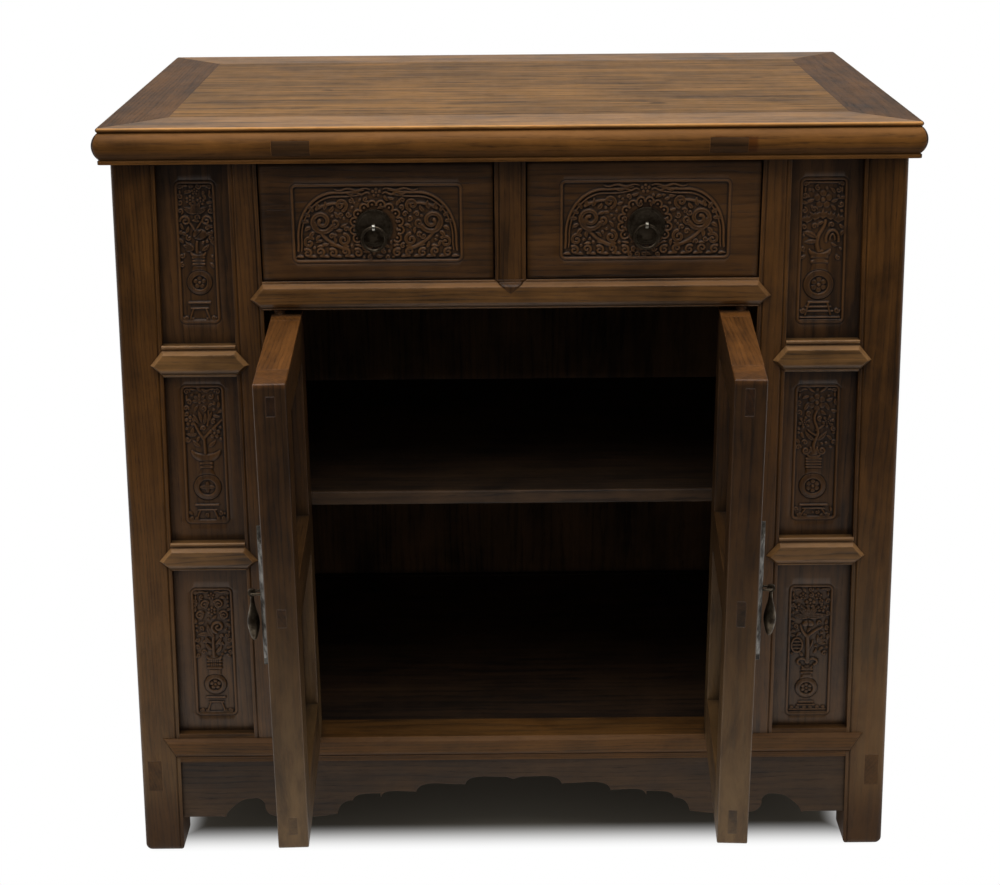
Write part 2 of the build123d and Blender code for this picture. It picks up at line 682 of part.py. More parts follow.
# ---------------------------------------------------------------- drawers
for side, name in sides:
    outer = stile_inner - drawer_gap
    inner = divider_half + drawer_gap
    low, high = drawer_heights
    span = (side * inner, side * outer)
    box_y = (drawer_face + drawer_front_thick, front + drawer_box_back)
    box_z = (low + 0.5, high - 6)
    bottom_z = (low + 6, low + 14)
    axis_y = drawer_face - eye_stand
    first_tail, tail_spacing, tail_high = tails
    tail_feet = [box_z[0] + first_tail + step * tail_spacing for step in range(3)]
    tail_heights = [(foot, foot + tail_high) for foot in tail_feet]

    with BuildPart() as drawer_bottom:
        block(
            (side * (inner + drawer_side - 5), side * (outer - drawer_side + 5)),
            (drawer_face + drawer_front_thick - 8, box_y[1] - drawer_side + 5), bottom_z,
        )
    with BuildPart() as side_blanks:
        for x in ((inner, inner + drawer_side), (outer - drawer_side, outer)):
            block((side * x[0], side * x[1]), box_y, box_z)
            for tail in tail_heights:
                block((side * x[0], side * x[1]), (box_y[0] - tail_deep, box_y[0]), tail)
    with BuildPart() as back_blank:
        block(
            (side * (inner + drawer_side), side * (outer - drawer_side)),
            (box_y[1] - drawer_side, box_y[1]), box_z,
        )
        for tail in tail_heights:
            block(span, (box_y[1] - drawer_side, box_y[1]), tail)
    with BuildPart() as drawer_sides:
        add(side_blanks.part)
        add(back_blank.part, mode=Mode.SUBTRACT)
        add(drawer_bottom.part, mode=Mode.SUBTRACT)
    drawer_rear = seated(back_blank.part, (drawer_bottom.part,))

    with BuildPart() as backplate:
        plate_centre = (side * ring_x, drawer_face, ring_z - backplate_drop)
        with BuildSketch(Plane(origin=plate_centre, x_dir=(1, 0, 0), z_dir=(0, 0, 1))):
            with BuildLine():
                rim = Polyline((0, 0), (20, 0), (20, -0.8), (17.5, -1.1), (16.5, -0.8))
                dome = TangentArc((0, -3), rim @ 1, tangent=(1, 0))
                Line(dome @ 0, rim @ 0)
            make_face()
        revolve(axis=Axis(plate_centre, (0, 1, 0)))
    with BuildPart() as drawer_staple:
        shank_end = (side * ring_x, drawer_face + staple_long, ring_z)
        with BuildSketch(Plane(origin=shank_end, x_dir=(1, 0, 0), z_dir=(0, -1, 0))):
            Circle(shank)
        extrude(amount=staple_long + eye_stand - (eye_outer + eye_inner) / 2)
        eye_side = (side * ring_x - eye_wide / 2, axis_y, ring_z)
        with BuildSketch(Plane(origin=eye_side, x_dir=(0, 1, 0), z_dir=(1, 0, 0))):
            Circle(eye_outer)
            Circle(eye_inner, mode=Mode.SUBTRACT)
        extrude(amount=eye_wide)
    with BuildPart() as drawer_ring:
        with Locations(Plane(origin=(side * ring_x, axis_y, ring_z - ring_radius), z_dir=(0, 1, 0))):
            Torus(ring_radius, ring_wire)
    with BuildPart() as drawer_front_blank:
        block(span, (drawer_face, drawer_face + drawer_front_thick), drawer_heights)
    drawer_front = seated(drawer_front_blank.part, (side_blanks.part, drawer_bottom.part, drawer_staple.part))
    save(drawer_front, f"drawer_{name}_front")
    save(drawer_sides, f"drawer_{name}_sides")
    save(drawer_rear, f"drawer_{name}_back")
    save(drawer_bottom, f"drawer_{name}_bottom")
    save(seated(backplate.part, (drawer_staple.part,)), f"drawer_{name}_backplate")
    save(drawer_staple, f"drawer_{name}_staple")
    save(drawer_ring, f"drawer_{name}_ring")

# ---------------------------------------------------------------- carcass pieces, seated in each other
for side, name in sides:
    columns = [member.part for member in column_members[side]]
    guests = (bottom_member.part, *columns, column_boards[side].part, side_members[side].part,
              side_boards[side].part, bearers.part, apron.part)
    save(seated(post_blank(side, True), guests), f"post_front_{name}")
    rear_guests = (back_member.part, back_boards.part, side_members[side].part, side_boards[side].part,
                   bearers.part)
    save(seated(post_blank(side, False), rear_guests), f"post_back_{name}")
    stile_guests = (drawer_member.part, *columns, column_boards[side].part)
    save(seated(stiles[side], stile_guests), f"inner_stile_{name}")
    with BuildPart() as column_rail_blanks:
        for column in columns:
            add(column)
    save(seated(column_rail_blanks.part, (column_boards[side].part,)), f"column_rails_{name}")
    save(column_boards[side], f"column_panels_{name}")
    save(side_members[side], f"side_rails_{name}")
    save(side_boards[side], f"side_panels_{name}")

pin_holes = []
for side, _ in sides:
    with BuildPart() as pin_hole:
        with Locations((side * pivot_x, pivot_y, leaf_heights[0] - pin_long - 1)):
            Cylinder(
                pin_radius + pin_play, leaf_heights[1] - leaf_heights[0] + 2 * pin_long + 2,
                align=(Align.CENTER, Align.CENTER, Align.MIN),
            )
    pin_holes.append(pin_hole.part)

board_list = [column_boards[side].part for side, _ in sides]
bottom_guests = (*board_list, *stiles.values(), apron.part, floor_boards.part, *pin_holes)
save(seated(bottom_member.part, bottom_guests), "bottom_rail_front")
save(seated(drawer_member.part, (divider.part, drawer_runners.part, *pin_holes)), "drawer_rail")
save(divider, "drawer_divider")
save(drawer_runners, "drawer_runners")
save(apron, "apron_front")
save(floor_boards, "cupboard_floor")
save(shelf, "shelf")
save(bearers, "bearers")
save(seated(back_member.part, (back_boards.part, floor_boards.part, drawer_runners.part)), "back_rails")
save(back_boards, "back_panels")

# ---------------------------------------------------------------- mitred top frame
def top_corners(half_wide, low_y, high_y):
    """Corners of a rectangle of the top in plan, in turn from the front left one."""
    return ((-half_wide, low_y), (half_wide, low_y), (half_wide, high_y), (-half_wide, high_y))


outer_corners = top_corners(half_x, front - top_overhang, back + top_overhang)
inner_corners = top_corners(board_x, *board_y)
heads = [post_blank(side, is_front) for side, _ in sides for is_front in (True, False)]
top_guests = (*heads, *stiles.values(), divider.part, *board_list, top_board.part, top_battens.part)
for corner, name in enumerate(("front", "right", "back", "left")):
    following = (corner + 1) % 4
    with BuildPart() as member:
        add(top_envelope.part)
        with BuildSketch(Plane.XY.offset(under_top)):
            Polygon(
                outer_corners[corner], outer_corners[following],
                inner_corners[following], inner_corners[corner], align=None,
            )
        extrude(amount=top_thick, mode=Mode.INTERSECT)
        for guest in top_guests:
            add(guest, mode=Mode.SUBTRACT)
    save(member, f"top_frame_{name}")
save(top_board, "top_panel")
save(top_battens, "top_battens")
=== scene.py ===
import math

import bpy
import numpy as np
from mathutils import Matrix, Vector


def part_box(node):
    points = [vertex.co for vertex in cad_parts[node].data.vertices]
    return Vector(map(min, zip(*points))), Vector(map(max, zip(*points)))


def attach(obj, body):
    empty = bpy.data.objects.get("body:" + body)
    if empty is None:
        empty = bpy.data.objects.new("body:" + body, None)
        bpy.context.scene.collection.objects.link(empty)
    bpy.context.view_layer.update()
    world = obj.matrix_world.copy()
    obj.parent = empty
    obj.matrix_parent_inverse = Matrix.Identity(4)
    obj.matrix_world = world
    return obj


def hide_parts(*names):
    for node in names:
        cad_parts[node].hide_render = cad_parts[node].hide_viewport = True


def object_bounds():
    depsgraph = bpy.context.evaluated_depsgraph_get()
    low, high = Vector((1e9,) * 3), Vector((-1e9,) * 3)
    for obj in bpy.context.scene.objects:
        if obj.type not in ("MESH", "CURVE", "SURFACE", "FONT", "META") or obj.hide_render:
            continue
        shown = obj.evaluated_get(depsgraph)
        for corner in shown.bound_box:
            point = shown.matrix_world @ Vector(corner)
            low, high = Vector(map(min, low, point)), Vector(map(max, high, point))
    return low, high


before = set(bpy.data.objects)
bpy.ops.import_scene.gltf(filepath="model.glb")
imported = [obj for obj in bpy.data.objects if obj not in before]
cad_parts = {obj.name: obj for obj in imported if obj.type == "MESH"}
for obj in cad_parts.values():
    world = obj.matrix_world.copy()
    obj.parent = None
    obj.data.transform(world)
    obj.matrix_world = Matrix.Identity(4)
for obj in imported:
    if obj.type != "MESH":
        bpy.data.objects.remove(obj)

# The looks of the kang cabinet: its woods, its metalwork and its carved boards.
# Lengths are in metres. Carvings are drawn in millimetres on a height field and scaled to a mesh.

cad_low, cad_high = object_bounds()
MM = 0.001

# ------------------------------------------------------------ where the carved boards sit
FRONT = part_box("post_front_left")[0].y            # front faces of the posts
POST_FOOT = 0.4463                                # outer face of a post at the floor
POST_LEAN = 0.0243 / 0.842                        # how fast it leans in, upwards
POST_SIDE = 0.047                                 # width of a post
STILE_FOOT = 0.3082                               # panel edge of an inner stile at the floor
STILE_LEAN = 0.0121                               # how fast it leans in
PANEL_FACE = FRONT + 0.009
PANEL_BACK = FRONT + 0.021
LET_IN = 0.006                                    # how deep a board stands in its grooves


def post_inner(z):
    """Distance of a post's inner face from the centre plane at height z."""
    return POST_FOOT - POST_SIDE - POST_LEAN * z


def stile_outer(z):
    """Distance of an inner stile's panel edge from the centre plane at height z."""
    return STILE_FOOT - STILE_LEAN * z


class Carving:
    """A height field in millimetres over a rectangle, x across and z up from its lower left corner.
    relief holds the domes of what is carved, the highest one winning; cuts holds the lines cut into it."""

    def __init__(self, wide, tall, step):
        self.wide, self.tall, self.step = wide, tall, step
        self.x = np.linspace(0, wide, int(round(wide / step)) + 1)
        self.z = np.linspace(0, tall, int(round(tall / step)) + 1)
        self.gx, self.gz = np.meshgrid(self.x, self.z)
        self.relief = np.zeros_like(self.gx)
        self.cuts = np.zeros_like(self.gx)

    def window(self, x0, x1, z0, z1):
        """The slices of the field that cover a rectangle."""
        i0, i1 = np.searchsorted(self.x, (x0, x1))
        j0, j1 = np.searchsorted(self.z, (z0, z1))
        return slice(max(j0 - 1, 0), j1 + 1), slice(max(i0 - 1, 0), i1 + 1)

    def near_path(self, path, widths, reach):
        """For each straight piece of a path: a window, and each point's distance over the half width."""
        for (a, b, wa, wb) in zip(path[:-1], path[1:], widths[:-1], widths[1:]):
            pad = reach * max(wa, wb) + 0.6
            win = self.window(min(a[0], b[0]) - pad, max(a[0], b[0]) + pad,
                              min(a[1], b[1]) - pad, max(a[1], b[1]) + pad)
            px, pz = self.gx[win] - a[0], self.gz[win] - a[1]
            run = np.array((b[0] - a[0], b[1] - a[1]))
            t = np.clip((px * run[0] + pz * run[1]) / max(run @ run, 1e-9), 0, 1)
            away = np.hypot(px - t * run[0], pz - t * run[1])
            yield win, away / np.maximum(wa + (wb - wa) * t, 0.05)

    def stroke(self, path, widths, high=1.0):
        """A ridge along a path: high * sqrt(1 - r^2.4), r the distance over the half width."""
        path, widths = np.asarray(path, float), 1.12 * np.broadcast_to(widths, len(path))
        for win, r in self.near_path(path, widths, 1.0):
            self.relief[win] = np.maximum(self.relief[win], high * np.sqrt(np.clip(1 - r ** 2.4, 0, 1)))

    def groove(self, path, width=0.5, deep=0.35):
        """A cut along a path, with a bell-shaped section deep * exp(-r^2)."""
        path = np.asarray(path, float)
        for win, r in self.near_path(path, np.full(len(path), width), 2.6):
            self.cuts[win] = np.maximum(self.cuts[win], deep * np.exp(-r ** 2))

    def blob(self, x, z, rx, rz=None, turn=0.0, high=1.0, power=2.6, dish=0.0):
        """A turned oval dome, dished by dish at its middle."""
        rz = rx if rz is None else rz
        pad = max(rx, rz)
        win = self.window(x - pad, x + pad, z - pad, z + pad)
        c, s = math.cos(math.radians(turn)), math.sin(math.radians(turn))
        px, pz = self.gx[win] - x, self.gz[win] - z
        r = np.hypot((px * c + pz * s) / rx, (-px * s + pz * c) / rz)
        dome = high * np.sqrt(np.clip(1 - r ** power, 0, 1)) - dish * np.clip(1 - r, 0, 1)
        self.relief[win] = np.where(r < 1, np.maximum(self.relief[win], dome), self.relief[win])

    def sink(self, x, z, rx, rz=None, floor=0.15):
        """An oval let down to floor, so that what comes next stands in it."""
        rz = rx if rz is None else rz
        win = self.window(x - rx, x + rx, z - rz, z + rz)
        inside = np.hypot((self.gx[win] - x) / rx, (self.gz[win] - z) / rz) < 1
        self.relief[win] = np.where(inside, floor, self.relief[win])


def soften(field, reach):
    """A field blurred by a bell of the given reach in cells, along both sides."""
    bell = np.exp(-0.5 * (np.arange(-3 * reach, 3 * reach + 1) / reach) ** 2)
    bell /= bell.sum()
    for axis in (0, 1):
        padded = np.pad(field, [(3 * reach, 3 * reach) if a == axis else (0, 0) for a in (0, 1)], "edge")
        field = np.apply_along_axis(np.convolve, axis, padded, bell, "valid")
    return field


def polar(x, z, r, angle):
    """The point at a distance from another, at an angle in radians."""
    return x + r * math.cos(angle), z + r * math.sin(angle)


def arc(x, z, heading, length, bend=0.0, count=12):
    """Points along an arc from (x, z): it starts on a heading in degrees and turns by bend degrees."""
    angle = np.radians(heading + bend * (np.arange(count) + 0.5) / count)
    step = length / count
    return np.column_stack((x + np.r_[0, np.cumsum(np.cos(angle))] * step,
                            z + np.r_[0, np.cumsum(np.sin(angle))] * step))


def ring(x, z, r, start=0.0, sweep=360.0, count=28, squash=1.0):
    """Points round a circle, or part of one, squashed upright by a factor."""
    angle = np.radians(start + sweep * np.linspace(0, 1, count))
    return np.column_stack((x + r * np.cos(angle), z + r * squash * np.sin(angle)))


def spiral(x, z, r, start, turns, count=30):
    """Points from the rim of a spiral to its eye: the radius shrinks evenly as the angle runs on."""
    t = np.linspace(0, 1, count)
    angle = np.radians(start + 360 * turns * t)
    return np.column_stack((x + r * (1 - 0.8 * t) * np.cos(angle), z + r * (1 - 0.8 * t) * np.sin(angle)))


def strand(x0, z0, x1, z1, waves, swing, count=40):
    """Points along a straight run that sways to both sides as a sine."""
    t = np.linspace(0, 1, count)
    away = swing * np.sin(2 * np.pi * waves * t)
    run = np.array((x1 - x0, z1 - z0)) / math.hypot(x1 - x0, z1 - z0)
    return np.column_stack((x0 + (x1 - x0) * t - run[1] * away, z0 + (z1 - z0) * t + run[0] * away))


def taper(wide, narrow, count, power=1.0):
    """Half widths that run from wide to narrow along a path."""
    return wide + (narrow - wide) * np.linspace(0, 1, count) ** power


def swell(wide, count, least=0.3):
    """Half widths of a leaf: they rise and fall along its path."""
    return np.maximum(wide * np.sin(np.pi * np.linspace(0.04, 1, count) ** 0.8), least)


def branch(c, x, z, heading, length, bend, wide=1.5, narrow=0.9, high=0.85):
    """A tapering stem; gives its far end."""
    path = arc(x, z, heading, length, bend)
    c.stroke(path, taper(wide, narrow, len(path)), high)
    return path[-1]


def bar(c, x0, x1, z, wide, high=0.85):
    """A straight level ridge."""
    c.stroke([(x0, z), (x1, z)], wide, high)


def blade(c, x, z, heading, length, bend, wide, high=0.85):
    """A plain narrow leaf."""
    path = arc(x, z, heading, length, bend)
    c.stroke(path, swell(wide, len(path)), high)


def leaf(c, x, z, heading, length, wide, bend=20.0, high=0.95):
    """A pointed leaf with a midrib and slanting side veins."""
    path = arc(x, z, heading, length, bend, 14)
    widths = swell(wide, len(path))
    c.stroke(path, widths, high)
    c.groove(path[1:-1], 0.45, 0.4)
    for i in (4, 7, 10):
        along = np.degrees(math.atan2(*(path[i] - path[i - 1])[::-1]))
        for lean in (-48, 48):
            c.groove(arc(*path[i - 1], along + lean, widths[i] * 0.95, 0, 3), 0.3, 0.22)


def blossom(c, x, z, r, petals=5, turn=90.0, high=1.0):
    """Round petals about a boss, each dished, with cuts between them."""
    for k in range(petals):
        a = math.radians(turn + 360 * k / petals)
        c.blob(*polar(x, z, 0.58 * r, a), 0.46 * r, 0.40 * r, math.degrees(a), high * 0.92, 3.0, 0.28)
        b = a + math.pi / petals
        c.groove([polar(x, z, 0.3 * r, b), polar(x, z, 0.95 * r, b)], 0.4, 0.5)
    c.groove(ring(x, z, 0.34 * r), 0.4, 0.55)
    c.blob(x, z, 0.28 * r, high=high * 1.05)


def scroll(c, x, z, r, start, turns=1.2, wide=1.1, high=0.85):
    """A spiral ridge that ends in a small boss."""
    path = spiral(x, z, r, start, turns)
    c.stroke(path, taper(wide, wide * 0.75, len(path)), high)
    c.blob(*path[-1], wide * 1.15, high=high)


def bud(c, x, z, r, turn=90.0):
    """A bud: an oval in two sepals."""
    c.blob(x, z, r, r * 0.72, turn, 0.95)
    c.groove(arc(*polar(x, z, -0.8 * r, math.radians(turn)), turn - 18, r * 1.5, 36, 6), 0.4, 0.4)


def curled_leaf(c, x, z, heading, length, wide, side):
    """A leaf that ends in a curl to one side."""
    path = arc(x, z, heading, length, side * 60)
    c.stroke(path, swell(wide, len(path), 0.7), 0.9)
    c.groove(path[1:-2], 0.4, 0.35)
    scroll(c, *path[-1], wide * 1.1, heading - side * 40, side * 1.1, wide * 0.45, 0.85)


def sheaf(c, x, z, length, wide, first, last, count, seed=0):
    """Leaves that spread as a fan from a point, their lengths varied."""
    vary = np.random.default_rng(seed).uniform(0.8, 1.1, count)
    for k in range(count):
        heading = first + (last - first) * k / (count - 1)
        leaf(c, x, z, heading, length * vary[k], wide, 22 * math.cos(math.radians(heading)) * (-1) ** k)


def fill_gaps(c, low, high, count, seed, size=1.25, closed=False):
    """Small curls, leaves and buds, one after another in the emptiest place left between two heights and
    outside the closed part."""
    pick = np.random.default_rng(seed)
    reach = int(round(2.2 * size / c.step))
    edge = 2.0 * size
    shut = closed | (c.gz < low + edge) | (c.gz > high - edge) | (c.gx < edge) | (c.gx > c.wide - edge)
    for k in range(count):
        crowd = soften((c.relief > 0.25).astype(float), reach) + shut
        row, col = np.unravel_index(np.argmin(crowd), crowd.shape)
        if crowd[row, col] > 0.36:
            break
        x, z, heading = c.x[col], c.z[row], pick.uniform(0, 360)
        if k % 3 == 0:
            scroll(c, x, z, 2.5 * size, heading, 1.1 * (-1) ** k, 0.85 * size)
        elif k % 3 == 1:
            start = arc(x, z, heading + 180, 3.1 * size, 0, 2)[-1]
            c.stroke(arc(*start, heading, 6.2 * size, 50, 8), swell(1.5 * size, 9), 0.85)
            c.groove(arc(*start, heading, 6.2 * size, 50, 8)[1:-2], 0.3, 0.3)
        else:
            bud(c, x, z, 1.9 * size, heading)


def vase(c, x, belly_z, r, lip_z, neck, mouth, petals=5, rings=3):
    """A round vase: a belly with a sunk medallion, shoulders up to a ringed neck, and a mouth whose two
    horns spread to mouth on each side. lip_z is where the neck meets the mouth."""
    top = belly_z + r
    c.stroke([(x, belly_z + r * 0.5), (x, top - r * 0.12), (x, top + (lip_z - top) * 0.35), (x, lip_z)],
             (r * 0.84, r * 0.5, neck * 1.12, neck), 0.9)
    c.blob(x, belly_z, r, high=1.0, power=6)
    c.groove(ring(x, belly_z, r * 1.0), 0.55, 0.5)
    c.groove(ring(x, belly_z, r * 0.86), 0.3, 0.25)
    c.sink(x, belly_z, r * 0.60)
    c.stroke(ring(x, belly_z, r * 0.62), 0.6, 1.0)
    if petals == 4:
        for turn in (0, 90, 180, 270):
            leaf(c, x, belly_z, turn, r * (0.60 if turn % 180 == 0 else 0.46), r * 0.15, 0, 1.0)
        c.blob(x, belly_z, r * 0.14, high=1.1)
    else:
        blossom(c, x, belly_z, r * 0.52, petals, 90, 1.0)
    for k in range(rings):
        z = lip_z - (lip_z - top) * (0.08 + 0.72 * k / rings)
        bar(c, x - neck * 1.15, x + neck * 1.15, z, (lip_z - top) * 0.26 / rings + 0.35, 1.0)
        c.groove([(x - neck * 1.3, z - 1.3), (x + neck * 1.3, z - 1.3)], 0.35, 0.6)
    horn = ring(x, lip_z + mouth * 0.66, mouth, 188, 164, 21, 0.62)
    c.stroke(horn, 0.55 + 0.26 * mouth * np.sin(np.pi * np.linspace(0.04, 0.96, 21)), 0.95)
    c.groove(ring(x, lip_z + mouth * 0.72, mouth * 0.82, 205, 130, 14, 0.5), 0.4, 0.45)


def stand(c, x, low, high, half, foot_half):
    """A stand under a vase: two bars, a waist that spreads, and scrolls at its feet."""
    rise = high - low
    bar(c, x - half, x + half, high - 1.3, 1.2, 0.9)
    bar(c, x - half * 0.8, x + half * 0.8, high - rise * 0.36, 0.9, 0.8)
    for side in (-1, 1):
        c.stroke([(x + side * half * 0.62, high - rise * 0.4), (x + side * half * 0.95, low + 1.5)], 1.0, 0.8)
        scroll(c, x + side * (foot_half - 2.4), low + 3.0, 2.6, 90 - side * 90, -side * 1.2, 0.95, 0.8)
        scroll(c, x + side * (foot_half - 8.0), low + 2.5, 2.0, 90 + side * 90, side * 1.1, 0.8, 0.75)
    bar(c, x - foot_half, x + foot_half, low + 0.2, 0.9, 0.8)


def corner_scrolls(c, wide, tall, reach=1.0):
    """Curls in the two upper corners, each with a leaf that runs inward along the top."""
    for side in (-1, 1):
        x = wide / 2 + side * (wide / 2 - 3.6 * reach)
        scroll(c, x, tall - 4.2 * reach, 3.2 * reach, 90 + side * 90, -side * 1.2, 1.0, 0.85)
        blade(c, x - side * 2.5, tall - 2.0, 90 + side * 84, 8 * reach, side * 24, 1.4)
        blade(c, x + side * 0.5, tall - 8 * reach, 270 - side * 8, 7 * reach, side * 25, 1.3, 0.8)


def draw_peach(c, w, h):
    """Vase with a peach above its mouth, curling buds to both sides and a close cluster at the top."""
    vase(c, w * 0.53, h * 0.285, w * 0.37, h * 0.475, w * 0.13, w * 0.21)
    stand(c, w * 0.5, 0.5, h * 0.145, w * 0.30, w * 0.46)
    branch(c, w * 0.50, h * 0.50, 100, h * 0.09, -25, 1.8, 1.5)
    c.blob(w * 0.60, h * 0.635, w * 0.22, w * 0.17, 14, 1.12, 3.4)
    c.groove(arc(w * 0.44, h * 0.615, 30, w * 0.34, 30, 10), 0.5, 0.5)
    c.groove(ring(w * 0.60, h * 0.635, w * 0.225, 0, 360, 30, 0.79), 0.5, 0.4)
    for a, l in ((172, 0.34), (150, 0.30), (200, 0.26)):
        leaf(c, w * 0.40, h * 0.535, a, w * l, 2.6, -22)
    leaf(c, w * 0.66, h * 0.52, 30, w * 0.26, 2.3, 25)
    for side, x in ((-1, 0.20), (1, 0.80)):
        scroll(c, w * x, h * 0.735, w * 0.15, 90 - side * 90, side * 1.3, 1.5, 0.95)
        c.stroke(arc(w * 0.48, h * 0.655, 90 - side * 25, h * 0.12, -side * 18), taper(1.4, 0.8, 13), 0.85)
        curled_leaf(c, w * (0.5 + side * 0.30), h * 0.63, 90 - side * 30, w * 0.16, 1.8, -side)
    sheaf(c, w * 0.5, h * 0.79, h * 0.10, 2.3, 10, 170, 7, 3)
    for x, z, r, n in ((0.36, 0.885, 0.14, 6), (0.66, 0.875, 0.13, 5), (0.50, 0.945, 0.10, 5)):
        blossom(c, w * x, h * z, w * r, n)
    corner_scrolls(c, w, h, 0.85)
    fill_gaps(c, h * 0.56, h, 30, 1)
    fill_gaps(c, h * 0.40, h * 0.55, 4, 2, 1.1)


def draw_blossoms(c, w, h):
    """Vase with a boat-shaped mouth, crossing branches, a flower to each side and a lotus at the top."""
    vase(c, w * 0.53, h * 0.258, w * 0.37, h * 0.475, w * 0.11, w * 0.37, 4)
    stand(c, w * 0.5, 0.5, h * 0.13, w * 0.30, w * 0.48)
    c.stroke([(w * 0.52, h * 0.49), (w * 0.50, h * 0.62)], (1.9, 1.5), 0.95)
    fork = (w * 0.48, h * 0.62)
    branch(c, *fork, 122, h * 0.17, -14, 1.6, 1.0)
    branch(c, *fork, 48, h * 0.30, -6, 1.7, 1.1)
    branch(c, w * 0.60, h * 0.72, 75, h * 0.11, 20, 1.2, 0.8)
    blossom(c, w * 0.78, h * 0.665, w * 0.16, 5)
    blossom(c, w * 0.15, h * 0.755, w * 0.15, 5)
    leaf(c, w * 0.22, h * 0.70, 250, w * 0.24, 2.2, 20)
    leaf(c, w * 0.30, h * 0.655, 190, w * 0.28, 2.3, -25)
    for k in range(4):
        leaf(c, w * (0.36 + 0.08 * k), h * (0.735 + 0.012 * (k % 2)), 112 - 18 * k, h * 0.085, 2.0, 15)
    for side in (-1, 1):
        leaf(c, w * (0.5 + side * 0.12), h * 0.565, 90 - side * 60, w * 0.26, 2.2, side * 25)
    for k in range(5):
        leaf(c, w * 0.42, h * 0.905, 90 + 45 * (k - 2), w * 0.20, 2.4, 8 * (k - 2))
    blossom(c, w * 0.42, h * 0.915, w * 0.13, 6)
    corner_scrolls(c, w, h, 1.1)
    curled_leaf(c, w * 0.66, h * 0.86, 60, w * 0.16, 1.7, -1)
    fill_gaps(c, h * 0.60, h, 22, 4)
    fill_gaps(c, 0, h * 0.07, 4, 5, 1.0)


def draw_scrolls(c, w, h):
    """Vase under close scrollwork: broad leaves that coil to both sides as they climb."""
    vase(c, w * 0.5, h * 0.235, w * 0.31, h * 0.435, w * 0.14, w * 0.20)
    stand(c, w * 0.5, 0.5, h * 0.135, w * 0.25, w * 0.44)
    for k in range(-2, 3):
        c.groove([(w * (0.5 + 0.055 * k), h * 0.385), (w * (0.5 + 0.055 * k), h * 0.44)], 0.35, 0.6)
    branch(c, w * 0.5, h * 0.45, 94, h * 0.18, -8, 2.0, 1.7)
    scroll(c, w * 0.64, h * 0.705, w * 0.18, 250, -1.4, 1.9, 1.0)
    leaf(c, w * 0.52, h * 0.62, 128, w * 0.46, 3.4, -30)
    leaf(c, w * 0.40, h * 0.64, 165, w * 0.34, 2.8, 30)
    for side, z in ((-1, 0.52), (1, 0.50), (-1, 0.575), (1, 0.565)):
        curled_leaf(c, w * (0.5 + side * 0.06), h * z, 90 - side * 62, w * 0.30, 2.2, side)
    for side, x, z, r in ((-1, 0.16, 0.80, 0.12), (1, 0.82, 0.80, 0.13), (-1, 0.30, 0.885, 0.12),
                          (1, 0.68, 0.89, 0.13)):
        scroll(c, w * x, h * z, w * r, 90 + side * 60, -side * 1.3, 1.4, 0.95)
        leaf(c, w * x, h * z - w * r, 90 + side * 40, w * 0.26, 2.1, -side * 40)
    blossom(c, w * 0.49, h * 0.835, w * 0.13, 6)
    blossom(c, w * 0.49, h * 0.955, w * 0.10, 5)
    for side in (-1, 1):
        c.stroke(strand(w * 0.5 + side * 4, h - 2.2, w * 0.5 + side * w * 0.46, h - 2.2, 1.5, 0.8), 0.9, 0.85)
    corner_scrolls(c, w, h, 0.8)
    fill_gaps(c, h * 0.46, h, 30, 6, 1.15)


def draw_chrysanthemum(c, w, h):
    """Vase with thick stems that curl, five leafy heads in a row and a flower of five petals over them."""
    x = w * 0.45
    vase(c, x, h * 0.262, w * 0.37, h * 0.47, w * 0.14, w * 0.25, 6, 2)
    for k in range(3):
        bar(c, w * (0.22 - 0.05 * k), w * (0.70 + 0.05 * k), h * (0.135 - 0.032 * k), 1.0)
    for side in (-1, 1):
        c.stroke([(x + side * w * 0.22, h * 0.13), (x + side * w * 0.30, h * 0.045)], 1.2, 0.9)
        scroll(c, w * (0.5 + side * 0.40), h * 0.075, 3.0, 90 - side * 90, -side * 1.2, 1.0, 0.85)
    for z in (1.0, 4.0):
        bar(c, 1.5, w - 1.5, z, 0.95)
    c.stroke(strand(w * 0.42, h * 0.50, w * 0.50, h * 0.72, 0.75, w * 0.07), taper(2.3, 1.6, 40), 1.0)
    c.stroke(ring(w * 0.74, h * 0.585, w * 0.15, -10, 200, 18, 1.5), 1.6, 0.95)
    c.stroke(ring(w * 0.74, h * 0.585, w * 0.06, 0, 180, 12, 2.2), 1.1, 0.85)
    leaf(c, w * 0.34, h * 0.60, 140, w * 0.34, 3.0, 35)
    leaf(c, w * 0.36, h * 0.57, 175, w * 0.28, 2.4, 20)
    for k, (dx, dz) in enumerate(((0.12, 0.735), (0.31, 0.755), (0.50, 0.765), (0.69, 0.755), (0.87, 0.735))):
        sheaf(c, w * dx, h * dz - 3, w * 0.17, 1.9, 20, 160, 5, k)
        bud(c, w * dx, h * dz - 3.5, 2.4, 90)
    blossom(c, w * 0.49, h * 0.866, w * 0.22, 5)
    bar(c, w * 0.22, w * 0.78, h - 2.0, 1.1)
    corner_scrolls(c, w, h, 0.9)
    fill_gaps(c, h * 0.60, h * 0.965, 26, 7)
    fill_gaps(c, h * 0.44, h * 0.58, 5, 8, 1.1)


